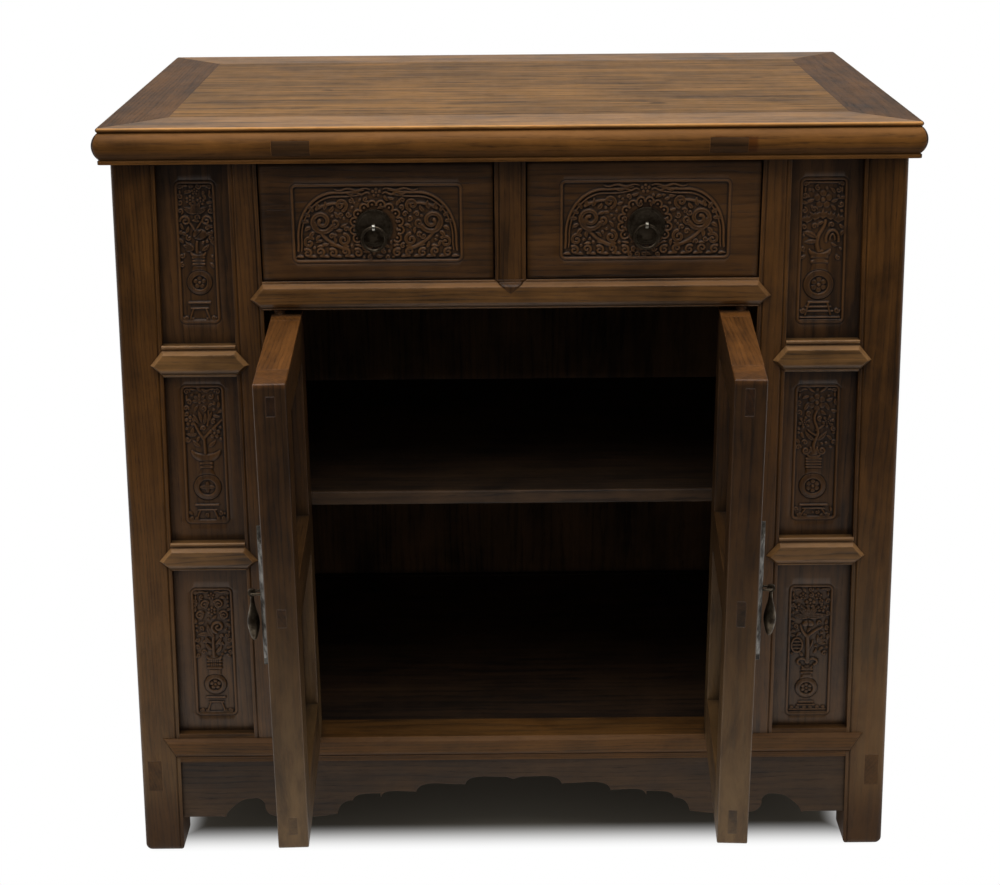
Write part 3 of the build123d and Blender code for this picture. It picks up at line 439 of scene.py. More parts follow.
def draw_plum(c, w, h):
    """Vase with a long ringed neck and a winding stem between plum clusters, up to a round flower."""
    x = w * 0.46
    vase(c, x, h * 0.245, w * 0.35, h * 0.465, w * 0.15, w * 0.16, 6, 4)
    stand(c, w * 0.5, 0.5, h * 0.105, w * 0.34, w * 0.40)
    for side in (-1, 1):
        scroll(c, x + side * w * 0.20, h * 0.52, w * 0.10, 90 + side * 90, side * 1.3, 1.4, 0.95)
        c.stroke(arc(x, h * 0.49, 90 - side * 40, w * 0.20, side * 30), taper(1.5, 1.2, 13), 0.9)
    c.stroke(strand(w * 0.50, h * 0.50, w * 0.50, h * 0.82, 1.5, w * 0.05), taper(2.0, 1.3, 40), 0.95)
    for side, cx, cz in ((-1, 0.20, 0.735), (1, 0.80, 0.74)):
        for k in range(6):
            a = math.radians(60 * k + 15)
            bud(c, *polar(w * cx, h * cz, w * 0.12, a), 2.5, math.degrees(a))
        blossom(c, w * cx, h * cz, w * 0.09, 5)
        c.stroke(arc(w * 0.5, h * (0.655 + 0.02 * side), 90 - side * 65, w * 0.24, side * 20), 1.1, 0.85)
        leaf(c, w * (0.5 + side * 0.05), h * 0.60, 90 - side * 58, w * 0.34, 2.3, side * 30)
        leaf(c, w * cx, h * 0.83, 90 + side * 20, w * 0.24, 2.2, side * 20)
        blade(c, w * (0.5 + side * 0.06), h - 6.0, 90 - side * 62, w * 0.36, side * 35, 1.5, 0.9)
    blossom(c, w * 0.50, h * 0.885, w * 0.22, 6)
    corner_scrolls(c, w, h, 0.8)
    fill_gaps(c, h * 0.53, h, 24, 9)
    fill_gaps(c, 0, h * 0.08, 4, 10, 1.0)


def draw_tree(c, w, h):
    """Vase with a tulip mouth and a small tree: a forked trunk, a barred lantern at its left, a heart
    in the fork and a close crown of leaves."""
    x = w * 0.46
    vase(c, x, h * 0.20, w * 0.29, h * 0.355, w * 0.10, w * 0.13, 6, 2)
    for side in (-1, 1):
        c.stroke(ring(x + side * w * 0.14, h * 0.41, w * 0.11, 90 - side * 160, side * 250, 20, 0.8), 1.5, 0.95)
    bar(c, x - w * 0.18, x + w * 0.18, h * 0.085, 1.1, 0.9)
    bar(c, x - w * 0.22, x + w * 0.22, h * 0.062, 1.0)
    for z in (1.0, 4.2):
        bar(c, 1.5, w - 1.5, z, 0.95)
    for k in range(6):
        scroll(c, w * (0.09 + 0.164 * k), 6.6, 1.9, 180 * (k % 2), 1.1 * (-1) ** k, 0.8, 0.75)
    fork = branch(c, w * 0.46, h * 0.41, 88, h * 0.20, 6, 2.6, 2.2, 1.0)
    branch(c, *fork, 140, w * 0.38, -40, 2.0, 1.3, 0.95)
    branch(c, *fork, 48, w * 0.46, -25, 2.0, 1.2, 0.95)
    branch(c, w * 0.47, h * 0.50, 55, w * 0.30, 25, 1.5, 1.0)
    c.stroke(ring(w * 0.18, h * 0.545, w * 0.14, 0, 360, 26, 1.45), 1.2, 0.95)
    for k in (-1, 0, 1):
        bar(c, w * 0.06, w * 0.30, h * 0.545 + 4.4 * k, 0.8)
    for a in (-20, 15, 50, 85):
        leaf(c, w * 0.72, h * 0.565, a, w * 0.22, 2.1, 20)
    for side in (-1, 1):
        c.blob(w * (0.45 + side * 0.055), h * 0.715, w * 0.085, w * 0.11, 90 - side * 25, 1.05, 3.0)
    c.groove([(w * 0.45, h * 0.67), (w * 0.45, h * 0.745)], 0.45, 0.5)
    sheaf(c, w * 0.45, h * 0.765, w * 0.42, 2.6, -5, 185, 9, 5)
    for dx, dz, r in ((0.20, 0.84, 0.12), (0.78, 0.835, 0.12), (0.49, 0.875, 0.14), (0.30, 0.93, 0.10),
                      (0.70, 0.93, 0.10)):
        blossom(c, w * dx, h * dz, w * r, 5)
    corner_scrolls(c, w, h, 0.8)
    fill_gaps(c, h * 0.46, h, 32, 11, 1.2)


def draw_wings(c, w, h, feathers=0):
    """A lobed collar between two great arches, each round a coiling vine with flame-shaped leaves, over a
    band of scrolls. feathers gives the vines more leaves and another turn."""
    mid, eye_z = w / 2, h * 0.45
    lobes, collar, pearls = 12, 24.5, 24.6        # how many lobes, and how far out they and their pearls are
    arch_x, arch_z, arch_r, arch_tall = 44, h * 0.30, 40.5, 1.22
    coil_x, coil_z, flames_out = 59, 42, 14.0     # the great coil, and how far from it its flames start

    def ridge(path, side, widths, high):
        """A ridge along a path drawn at the right of the middle, put to one side of it."""
        c.stroke(np.column_stack((mid + side * path[:, 0], path[:, 1])), widths, high)

    def cut(path, side, wide, deep):
        """A cut along such a path."""
        c.groove(np.column_stack((mid + side * path[:, 0], path[:, 1])), wide, deep)

    for k in range(lobes):
        a = math.radians(-30 + 240 * k / (lobes - 1))
        c.stroke(ring(*polar(mid, eye_z, collar, a), 4.3, math.degrees(a) - 105, 210, 14), 1.15, 0.95)
        c.blob(*polar(mid, eye_z, pearls, a), 1.7, high=0.9)
    for side in (-1, 1):
        for inset, wide in ((0.0, 1.5), (3.6, 0.9)):
            arch = ring(arch_x, arch_z, arch_r - inset, 0, 92, 30, arch_tall)
            ridge(arch, side, wide, 1.0)
            ridge(arc(*arch[0], 268, h * 0.17, 10), side, wide, 0.95)
            top = arc(*arch[-1], 182, 30 - inset, -14)
            ridge(top, side, taper(wide, 0.7, len(top)), 0.9)
        for x, z, r, start, turns, wide in (
            (coil_x, coil_z, 12.5, 205, 1.5 + 0.15 * feathers, 2.7), (38, 60, 6.8, 250, -1.2, 1.9),
            (36, 22, 6.4, 100, 1.25, 1.9), (73, 19, 6.0, 130, -1.2, 1.8), (45, 40, 4.6, 300, -1.1, 1.5),
        ):
            coil = spiral(x, z, r, start, turns)
            ridge(coil, side, taper(wide, wide * 0.7, len(coil)), 1.0)
            cut(coil[:-6], side, 0.4, 0.35)
            c.blob(mid + side * coil[-1][0], coil[-1][1], wide * 0.9, high=1.0)
        vine = arc(33, 12, 12, 46, 58, 20)
        ridge(vine, side, taper(2.2, 1.4, len(vine)), 0.95)
        crown = arc(64, 56, 150, 30, 40, 14)
        ridge(crown, side, taper(2.0, 1.2, len(crown)), 0.95)
        for k in range(8 + feathers):
            a = 128 - 26 * k
            foot = polar(coil_x, coil_z, flames_out, math.radians(a))
            flame = arc(*foot, a + 28, 9.5 if k % 2 else 7.5, -66, 9)
            ridge(flame, side, swell(2.3, len(flame)), 0.95)
            cut(flame[1:-2], side, 0.35, 0.4)
        for k in range(5):
            x, odd = 21 + 13.6 * k, k % 2
            coil = spiral(x, 7.6 + 1.4 * odd, 4.7, 200 * odd + 60, 1.2 * (-1) ** k)
            ridge(coil, side, taper(1.7, 1.1, len(coil)), 0.95)
            ridge(arc(x + 4, 3.0, 25, 9, -50, 8), side, swell(1.8, 9), 0.85)
            ridge(arc(x - 4, 14.5, 40 - 15 * odd, 8, -60, 8), side, swell(1.7, 9), 0.85)
        for k in range(2):
            z = h - 3.0 - 4.4 * k
            run = strand(7, z, 44 - 8 * k, z, 2.0 + 0.5 * k, 1.1)
            ridge(run, side, np.interp(np.linspace(0, 1, len(run)), (0, 0.5, 1), (0.8, 1.5, 0.7)), 0.9)
    blossom(c, mid, h - 6.5, 5.4, 5)
    from_mid = np.abs(c.gx - mid)
    corner = np.hypot(np.maximum(from_mid - arch_x, 0), np.maximum(c.gz - arch_z, 0) / arch_tall) > 35
    plate = np.hypot(from_mid, c.gz - eye_z) < 22
    c.relief[plate & (c.gz > eye_z - 20)] = 0.0
    fill_gaps(c, 0, h, 60, 12 + feathers, 1.2, corner | (from_mid > 82) | plate)


def draw_feathers(c, w, h):
    """The same wings with feathers that coil further."""
    draw_wings(c, w, h, 1)


# ------------------------------------------------------------ boards with a carved face
STEP = 0.5                                        # spacing of the carved faces' points, in millimetres
SINK = 2.2                                        # depth of a carving's ground, in millimetres


def framed_relief(wide, tall, draw):
    """Height field of a carved rectangle, in millimetres from the board's face: outside it a fine
    groove, then a bead level with the face, then the sunk ground with the carving on it. Gives the
    positions across and up, the heights, and the patina, from -1 in the hollows to 1 on the ridges: the
    height over that of the surroundings."""
    border, inset, corner, edge = 1.3, 4.2, 5.0, 2.6
    c = Carving(wide, tall, STEP)
    inner = Carving(wide - 2 * inset, tall - 2 * inset, STEP)
    draw(inner, inner.wide, inner.tall)
    qx = np.abs(c.gx - wide / 2) - (wide / 2 - edge - corner)
    qz = np.abs(c.gz - tall / 2) - (tall / 2 - edge - corner)
    outside = np.hypot(np.maximum(qx, 0), np.maximum(qz, 0)) + np.minimum(np.maximum(qx, qz), 0) - corner
    inside = np.clip((-outside - border) / 0.8, 0, 1)
    first, (rows, cols) = int(round(inset / STEP)), inner.gx.shape
    lift = np.zeros_like(inside)
    lift[first:first + rows, first:first + cols] = np.clip(inner.relief - inner.cuts, -0.25, 1.15)
    bead = 0.35 * np.sqrt(np.clip(1 - (outside / border) ** 2, 0, 1))
    groove = 0.8 * np.exp(-((outside - 2.0) / 0.6) ** 2)
    high = -SINK * inside + lift * SINK * inside + bead - groove
    around = soften(high, int(round(1.5 / STEP)))
    return c.x, c.z, high, np.clip((high - around) / 0.9, -1, 1)


def grid_lines(low, high, fine_low, fine_high, fine):
    """Positions along one side of a board: a few over its plain ends, many over the carving."""
    return np.concatenate((np.linspace(low, fine_low, 5)[:-1], fine, np.linspace(fine_high, high, 5)[1:]))


def board_mesh(name, s, z, high, patina, place, back_y):
    """A closed board: a gridded face where place(s, z, height) puts each point, the same rim carried
    straight to back_y, and one flat face behind. patina goes to a point attribute."""
    rows, cols = len(z), len(s)
    gs, gz = np.meshgrid(s, z)
    face = place(gs, gz, high).reshape(-1, 3)
    index = np.arange(rows * cols).reshape(rows, cols)
    rim = np.concatenate((index[0, :-1], index[:-1, -1], index[-1, :0:-1], index[:0:-1, 0]))
    back = face[rim].copy()
    back[:, 1] = back_y
    points = np.vstack((face, back))
    quads = np.stack((index[:-1, :-1], index[:-1, 1:], index[1:, 1:], index[1:, :-1]), -1).reshape(-1, 4)
    far = len(face) + np.arange(len(rim))
    sides = np.stack((rim, far, np.roll(far, -1), np.roll(rim, -1)), -1)
    mesh = bpy.data.meshes.new(name)
    faces = [*map(tuple, quads.tolist()), *map(tuple, sides.tolist()), tuple(far[::-1].tolist())]
    mesh.from_pydata(points.tolist(), [], faces)
    smooth = np.zeros(len(faces), bool)
    smooth[:len(quads)] = True
    mesh.polygons.foreach_set("use_smooth", smooth)
    attribute = mesh.attributes.new("patina", "FLOAT", "POINT")
    attribute.data.foreach_set("value", np.concatenate((patina.ravel(), np.zeros(len(rim)))).astype(np.float32))
    mesh.validate()
    mesh.update()
    piece = bpy.data.objects.new(name, mesh)
    bpy.context.scene.collection.objects.link(piece)
    return piece


# ------------------------------------------------------------ writing shader nodes
def tone(red, green, blue):
    """A colour given as 0 to 255 on screen, as linear light with full alpha."""
    return tuple(((c / 255 + 0.055) / 1.055) ** 2.4 if c > 10 else c / 255 / 12.92
                 for c in (red, green, blue)) + (1.0,)


class NodeTree:
    """Writes the nodes of one shader tree. Each method adds a node and gives its result."""

    def __init__(self, tree):
        self.tree = tree
        tree.nodes.clear()

    def link(self, source, target):
        """Joins one socket to another."""
        self.tree.links.new(source, target)

    def node(self, kind, inputs=None, **settings):
        """A node of a kind, with its settings, its inputs set to values or linked to sockets."""
        made = self.tree.nodes.new("ShaderNode" + kind)
        for key, value in settings.items():
            setattr(made, key, value)
        for key, value in (inputs or {}).items():
            if isinstance(value, bpy.types.NodeSocket):
                self.link(value, made.inputs[key])
            else:
                made.inputs[key].default_value = value
        return made

    def calc(self, operation, *values, clamp=False):
        """The result of a Math node on one, two or three values or sockets."""
        return self.node("Math", dict(enumerate(values)), operation=operation, use_clamp=clamp).outputs[0]

    def less(self, value, taken):
        """A difference."""
        return self.calc("SUBTRACT", value, taken)

    def times(self, value, factor):
        """A product."""
        return self.calc("MULTIPLY", value, factor)

    def times_plus(self, value, factor, more, clamp=False):
        """A product with a term added."""
        return self.calc("MULTIPLY_ADD", value, factor, more, clamp=clamp)

    def greater(self, first, second):
        """The greater of two values."""
        return self.calc("MAXIMUM", first, second)

    def vector(self, operation, *values):
        """The result of a Vector Math node."""
        made = self.node("VectorMath", dict(enumerate(values)), operation=operation)
        return made.outputs["Value" if operation in ("LENGTH", "DOT_PRODUCT") else "Vector"]

    def stretched(self, place, factors):
        """A place with each of its parts multiplied."""
        return self.vector("MULTIPLY", place, factors)

    def parts(self, place):
        """The three parts of a place."""
        return self.node("SeparateXYZ", {0: place}).outputs

    def blend(self, factor, first, second, mode="MIX"):
        """Two colours mixed by a factor."""
        inputs = {0: factor, 6: first, 7: second}
        return self.node("Mix", inputs, data_type="RGBA", blend_type=mode).outputs[2]

    def fit(self, value, low, high, to_low=0.0, to_high=1.0):
        """A value carried smoothly from one range to another and held at its ends."""
        inputs = {"Value": value, "From Min": low, "From Max": high, "To Min": to_low, "To Max": to_high}
        return self.node("MapRange", inputs, interpolation_type="SMOOTHSTEP").outputs["Result"]

    def noise(self, place, scale, detail=2.0, roughness=0.5, distortion=0.0):
        """A noise value from 0 to 1, about 0.5."""
        inputs = {"Vector": place, "Scale": scale, "Detail": detail, "Roughness": roughness,
                  "Distortion": distortion}
        return self.node("TexNoise", inputs).outputs[0]

    def group(self, tree, inputs):
        """The results of a node group that is given these inputs."""
        return self.node("Group", inputs, node_tree=tree).outputs

    def give(self, target, **results):
        """Links results to the inputs of a node, by their names in small letters."""
        for label, value in results.items():
            self.link(value, target.inputs[label.replace("_", " ").title()])


def new_group(name, inputs, outputs):
    """An empty shader group with named sockets; gives it, what it is given and its output node.
    A socket's kind follows from its first value: a number, a colour of four, or a vector of three."""
    tree = bpy.data.node_groups.new(name, "ShaderNodeTree")
    for in_out, sockets in (("INPUT", inputs), ("OUTPUT", outputs)):
        for label, value in sockets.items():
            size = len(value) if isinstance(value, tuple) else 1
            kind = {1: "NodeSocketFloat", 3: "NodeSocketVector", 4: "NodeSocketColor"}[size]
            socket = tree.interface.new_socket(label, in_out=in_out, socket_type=kind)
            if in_out == "INPUT":
                socket.default_value = value
    return NodeTree(tree), tree.nodes.new("NodeGroupInput").outputs, tree.nodes.new("NodeGroupOutput")


def elm_figure_group():
    """Figure of elm with its grain along X of the place given. Growth rings are shells about a pith line:
    distance from the line over the ring width, wandering with a noise drawn out along the grain. Each
    ring opens with a dark band of pores. Streaks and clouds are noises drawn out less and less."""
    tree, given, result = new_group(
        "elm_figure",
        {"Place": (0.0, 0.0, 0.0), "Ring": 0.004, "Wander": 5.0, "Pith": (0.0, 0.05, 0.12)},
        {"Rings": 0.0, "Pores": 0.0, "Streaks": 0.0, "Clouds": 0.0},
    )
    place = given["Place"]
    slow = tree.noise(tree.stretched(place, (2.2, 15.0, 15.0)), 1.0, 3.0, 0.55)
    from_pith = tree.stretched(tree.vector("SUBTRACT", place, given["Pith"]), (0.0, 1.0, 1.0))
    turns = tree.calc("DIVIDE", tree.vector("LENGTH", from_pith), given["Ring"])
    turns = tree.times_plus(slow, given["Wander"], turns)
    flutter = tree.noise(tree.stretched(place, (14.0, 170.0, 170.0)), 1.0, 2.0, 0.6)
    phase = tree.calc("FRACT", tree.times_plus(flutter, 0.9, turns))
    ring = tree.greater(tree.fit(phase, 0.0, 0.42, 1.0, 0.0), tree.fit(phase, 0.9, 1.0))
    strength = tree.noise(tree.stretched(place, (3.0, 22.0, 22.0)), 1.0)
    ring = tree.times(ring, tree.fit(strength, 0.3, 0.7, 0.35))
    pore = tree.fit(tree.noise(tree.stretched(place, (70.0, 1500.0, 1500.0)), 1.0, 1.0), 0.56, 0.68)
    pore = tree.times(pore, tree.times_plus(ring, 0.75, 0.25))
    streak = tree.noise(tree.stretched(place, (5.0, 130.0, 130.0)), 1.0, 4.0, 0.62)
    cloud = tree.noise(tree.stretched(place, (3.0, 9.0, 9.0)), 1.0, 3.0, 0.6, 0.4)
    tree.give(result, rings=ring, pores=pore, streaks=streak, clouds=cloud)
    return tree.tree


def soft_edges_group():
    """Normals rounded over sharp edges, and a mask of those edges where they stand out. Where the rounded
    normal leaves the true one there is an edge; openness from occlusion drops the hollow ones. Hollow is one
    less that openness: the woods and metals darken by it, as painted shade."""
    tree, given, result = new_group("soft_edges", {"Radius": 0.002, "Reach": 0.012},
                                    {"Normal": (0.0, 0.0, 0.0), "Edge": 0.0, "Hollow": 0.0})
    rounded = tree.node("Bevel", {"Radius": given["Radius"]}, samples=4).outputs[0]
    true = tree.node("NewGeometry").outputs["Normal"]
    edge = tree.fit(tree.less(1.0, tree.vector("DOT_PRODUCT", rounded, true)), 0.004, 0.16)
    open_air = tree.node("AmbientOcclusion", {"Distance": given["Reach"]}, samples=6).outputs["AO"]
    edge = tree.times(edge, tree.fit(open_air, 0.55, 0.9))
    tree.give(result, normal=rounded, edge=edge, hollow=tree.less(1.0, open_air))
    return tree.tree


def new_material(name):
    """A material with its tree and a Principled shader in it; gives all three."""
    material = bpy.data.materials.new(name)
    material.use_nodes = True
    tree = NodeTree(material.node_tree)
    shader = tree.node("BsdfPrincipled")
    tree.node("OutputMaterial", {"Surface": shader.outputs[0]})
    return material, tree, shader


ELM_FIGURE = elm_figure_group()
SOFT_EDGES = soft_edges_group()
GRAIN = {"x": (0, 1, 2), "y": (1, 0, 2), "z": (2, 0, 1)}       # order of the axes along the grain first


def box_mask(tree, place, low, high, ragged):
    """1 inside a box, 0 outside it, with an edge about four millimetres wide that a noise makes ragged."""
    middle = tuple((a + b) / 2 for a, b in zip(low, high))
    half = tuple((b - a) / 2 for a, b in zip(low, high))
    from_middle = tree.vector("ABSOLUTE", tree.vector("SUBTRACT", place, middle))
    beyond = tree.parts(tree.vector("SUBTRACT", from_middle, half))
    beyond = tree.greater(tree.greater(beyond[0], beyond[1]), beyond[2])
    return tree.fit(tree.times_plus(ragged, 0.006, beyond), 0.0010, 0.0050, 1.0, 0.0)


def shade_of(colour, share):
    """A colour darkened to a share of itself."""
    return tuple(share * c for c in colour[:3]) + (1.0,)


def wood(name, grain, dark, light, rubbed_and_lit, ring=0.004, pith=(0.0, 0.05, 0.12), wander=5.0, wear_and_highlight=0.6,
         grime_and_shade=0.7, rough=0.42, contrast=1.0, round_off=0.0016, ior=1.45, carved=False, dust=0.0, patches=(),
         knots=(), slope_light_and_shade=0.0, blotchy=1.0):
    """Lacquered or bare elm. dark and light are the ends of its tone, rubbed the colour of its worn
    edges and of its painted highlights. dust is the share of pale dust near the floor. patches are boxes in
    metres, with the colour that darkens or pales them: for tenon ends, plugs and the top's darker rim, and as
    painted light, a highlight on the top's lip, the lit tops of the door leaves and shade on the shelf behind
    its edge. knots are places with a radius, in metres, and how much they darken. crest paints light and
    shade by slope: it pales the upper slopes of a moulding and darkens the lower ones. wear pales the edges,
    by wear and a painted highlight; grime darkens by dirt and by painted shade in the hollows that occlusion
    finds. A carved board is darker in its hollows, by its patina."""
    material, tree, shader = new_material(name)
    place = tree.node("TexCoord").outputs["Object"]
    parts = tree.parts(place)
    up = parts[2]
    along = tree.node("CombineXYZ", {i: parts[axis] for i, axis in enumerate(GRAIN[grain])}).outputs[0]
    figure = tree.group(ELM_FIGURE, {"Place": along, "Ring": ring, "Pith": pith, "Wander": wander})
    edges = tree.group(SOFT_EDGES, {"Radius": round_off})
    speck = tree.noise(place, 55.0, 4.0, 0.65)
    blotch = tree.noise(place, 11.0, 4.0, 0.6, 0.6)
    mottle = tree.noise(tree.stretched(along, (9.0, 42.0, 42.0)), 1.0, 5.0, 0.68, 0.5)

    lift = 0.58                                   # place between the dark and the light tone
    for pattern, strength in ((figure["Clouds"], 1.7 * blotchy), (figure["Streaks"], 1.2 * contrast),
                              (blotch, 1.3 * blotchy), (mottle, 1.3)):
        lift = tree.times_plus(tree.less(pattern, 0.5), strength, lift)
    lift = tree.times_plus(figure["Rings"], -0.36 * contrast, lift)
    for knot, radius, strength in knots:
        off = tree.stretched(tree.vector("SUBTRACT", place, knot), (0.6, 1.0, 1.0))
        off = tree.times_plus(speck, 0.6 * radius, tree.vector("LENGTH", off))
        lift = tree.less(lift, tree.fit(off, 0.5 * radius, 1.6 * radius, strength, 0.0))
    colour = tree.blend(tree.calc("ADD", lift, 0.0, clamp=True), dark, light)
    colour = tree.blend(tree.times(figure["Pores"], 0.75 * contrast), colour, shade_of(dark, 0.35))

    # paler edges: wear on the arrises, and partly a painted highlight
    rub_and_highlight = tree.times(edges["Edge"], tree.fit(speck, 0.38, 0.6, 0.25))
    # painted shade in the hollows that occlusion finds, varied by a speck noise
    dirt_and_shade = tree.fit(tree.times_plus(speck, 0.25, edges["Hollow"]), 0.2, 0.85)
    # painted light and shade by slope: upward slopes of a moulding paled, downward ones darkened
    if slope_light_and_shade:
        slope = tree.parts(tree.node("NewGeometry").outputs["Normal"])[2]
        upper = tree.times(tree.fit(slope, 0.15, 0.75), tree.fit(slope, 0.99, 0.95))
        rub_and_highlight = tree.greater(rub_and_highlight, tree.times(upper, tree.times(mottle, 1.6 * slope_light_and_shade)))
        dirt_and_shade = tree.greater(dirt_and_shade, tree.fit(slope, -0.1, -0.8, 0.0, 0.8 * slope_light_and_shade))
    if carved:
        patina = tree.node("Attribute", attribute_name="patina").outputs["Fac"]
        rub_and_highlight = tree.greater(rub_and_highlight, tree.fit(patina, 0.2, 0.85, 0.0, 0.75))
        dirt_and_shade = tree.greater(dirt_and_shade, tree.fit(tree.times_plus(speck, 0.3, patina), -0.75, 0.2, 1.0, 0.0))
    # worn edges and painted highlights laid over the colour
    colour = tree.blend(tree.times(rub_and_highlight, wear_and_highlight), colour, rubbed_and_lit)
    for low, high, patch_colour in patches:
        colour = tree.blend(box_mask(tree, place, low, high, speck), colour, patch_colour, "MULTIPLY")
    if dust:
        settled = tree.times(tree.fit(up, 0.55, 0.12), tree.fit(mottle, 0.3, 0.68, 0.3))
        settled = tree.times(settled, tree.fit(up, 0.03, 0.11, 0.15))
        colour = tree.blend(tree.times(settled, dust), colour, DUST)
        # darker towards the floor, from 13 cm down
        dirt_and_shade = tree.greater(dirt_and_shade, tree.fit(up, 0.02, 0.13, 0.75, 0.0))
    # grime and painted shade laid over the colour
    colour = tree.blend(tree.times(dirt_and_shade, grime_and_shade), colour, shade_of(dark, 0.28))

    dull = tree.times_plus(speck, 0.18, rough - 0.09)
    dull = tree.times_plus(figure["Pores"], 0.15, dull)
    dull = tree.times_plus(dirt_and_shade, 0.22, dull, clamp=True)
    height = tree.times_plus(figure["Pores"], -0.8, tree.times(figure["Streaks"], 0.6))
    height = tree.times_plus(figure["Rings"], -0.35, height)
    bump = tree.node("Bump", {"Strength": 0.5, "Distance": 0.00035, "Height": height,
                              "Normal": edges["Normal"]})
    shader.inputs["IOR"].default_value = ior
    tree.give(shader, base_color=colour, roughness=dull, normal=bump.outputs[0])
    return material


def metal(name, colour, tarnish, rough):
    """Old metal: bright where worn, dulled by a blotchy tarnish, and darkened in its hollows as painted shade.
    """
    material, tree, shader = new_material(name)
    place = tree.node("TexCoord").outputs["Object"]
    edges = tree.group(SOFT_EDGES, {"Radius": 0.0005, "Reach": 0.004})
    blotch = tree.noise(place, 90.0, 5.0, 0.65)
    fine = tree.noise(place, 810.0, 3.0, 0.6)
    cover = tree.fit(tree.times_plus(edges["Edge"], -0.3, blotch), 0.35, 0.65)
    # hollows darkened towards the dark tarnish: painted shade
    base = tree.blend(edges["Hollow"], tree.blend(cover, colour, tarnish), shade_of(tarnish, 0.3))
    dull = tree.times_plus(fine, 0.12, tree.times_plus(cover, 0.2, rough), clamp=True)
    bump = tree.node("Bump", {"Strength": 0.4, "Distance": 0.0002, "Height": fine, "Normal": edges["Normal"]})
    shader.inputs["Metallic"].default_value = 1.0
    tree.give(shader, base_color=base, roughness=dull, normal=bump.outputs[0])
    return material


# ------------------------------------------------------------ finishes, and the members that have them
def stain(red, green, blue):
    """The tones of a stained wood about its mean colour, given as sRGB out of 255: the dark and the light
    end of its figure, and the paler and greyer colour of its worn edges, which also serves as their painted
    highlight."""
    mean = tone(red, green, blue)[:3]
    grey = sum(mean) / 3
    return {
        "dark": tuple(0.42 * c for c in mean) + (1.0,),
        "light": tuple(1.75 * c for c in mean) + (1.0,),
        "rubbed_and_lit": tuple(2.5 * c + 0.3 * grey for c in mean) + (1.0,),
    }


DUST = tone(136, 106, 68)
RED = stain(86, 54, 19)                           # posts and stiles
BROWN = stain(76, 48, 19)                         # boards and drawer fronts
DEEP = stain(68, 43, 18)                          # the doors' frames
GOLD = stain(122, 86, 43)                         # the top's panel
PALE = stain(130, 92, 48)                         # the top's long members
ENDS = stain(80, 52, 23)                          # the top's end members
ROLL = stain(103, 70, 35)                         # the rolled rail under the drawers
WORN_AND_LIT_ROLL = stain(124, 88, 48)                    # the columns' rolled rails, paler by wear and as painted light on their upward roll
SHADE = stain(50, 33, 18)                         # bare wood inside, its tone darkened as painted shade of the cupboard
BACK = stain(84, 57, 30)
APRON = stain(62, 44, 26)
EDGE_WOOD = stain(70, 49, 29)                     # the shelf
BATTEN = stain(73, 48, 23)
BARE = stain(117, 92, 62)                         # drawer boxes

FRONT_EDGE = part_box("top_frame_front")[0].y
TOP_UNDER = 0.8782                                # the top's moulded edge starts under this height
LEAF_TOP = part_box("door_left_meeting_stile")[1].z
SHELF_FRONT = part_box("shelf")[0].y
DRAWER_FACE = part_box("drawer_left_front")[0].y

# patches: two corners of a box, and what it keeps or gains of each colour around it
PLUG = (0.66, 0.52, 0.36, 1.0)
PLUGS = tuple(((x0, FRONT_EDGE - 0.01, 0.850), (x1, FRONT_EDGE + 0.012, 0.867), PLUG)
              for x0, x1 in ((-0.248, -0.209), (0.215, 0.258)))
RIM = (((-0.5, -0.2, 0.80), (0.5, 0.4, TOP_UNDER), tone(205, 189, 160)),)
# a painted highlight along the front arris of the top
LIP_HIGHLIGHT = (((cad_low.x, FRONT_EDGE - 0.005, TOP_UNDER), (cad_high.x, FRONT_EDGE + 0.0085, 0.89),
        (1.65, 1.6, 1.55, 1.0)),)
# the tops of the door leaves paled: painted light on their upward faces
LIT_LEAF_TOPS = (((-1.0, -1.0, LEAF_TOP - 0.004), (1.0, 1.0, LEAF_TOP + 0.01), (2.1, 1.9, 1.6, 1.0)),)
LEAF_TENONS = (((-1.0, -1.0, -0.1), (1.0, cad_low.y + 0.012, LEAF_TOP - 0.006), (0.62, 0.56, 0.5, 1.0)),)
# the shelf darkened behind its front edge: painted shade inside the cupboard
SHELF_SHADE = (((-0.4, SHELF_FRONT + 0.004, 0.3), (0.4, 0.4, 0.6), tone(170, 168, 164)),)

# knots and stains: a place, a radius, and how much they darken
KNOTS = tuple(((x, y, 0.88), radius, 1.2) for x, y, radius in (
    (0.165, -0.02, 0.006), (0.10, -0.125, 0.004), (0.30, 0.16, 0.005), (-0.21, 0.09, 0.004)))
STAINS = tuple(((x, DRAWER_FACE, z), radius, 0.4) for x, z, radius in (
    (-0.253, 0.797, 0.017), (-0.250, 0.768, 0.020), (-0.256, 0.745, 0.012)))

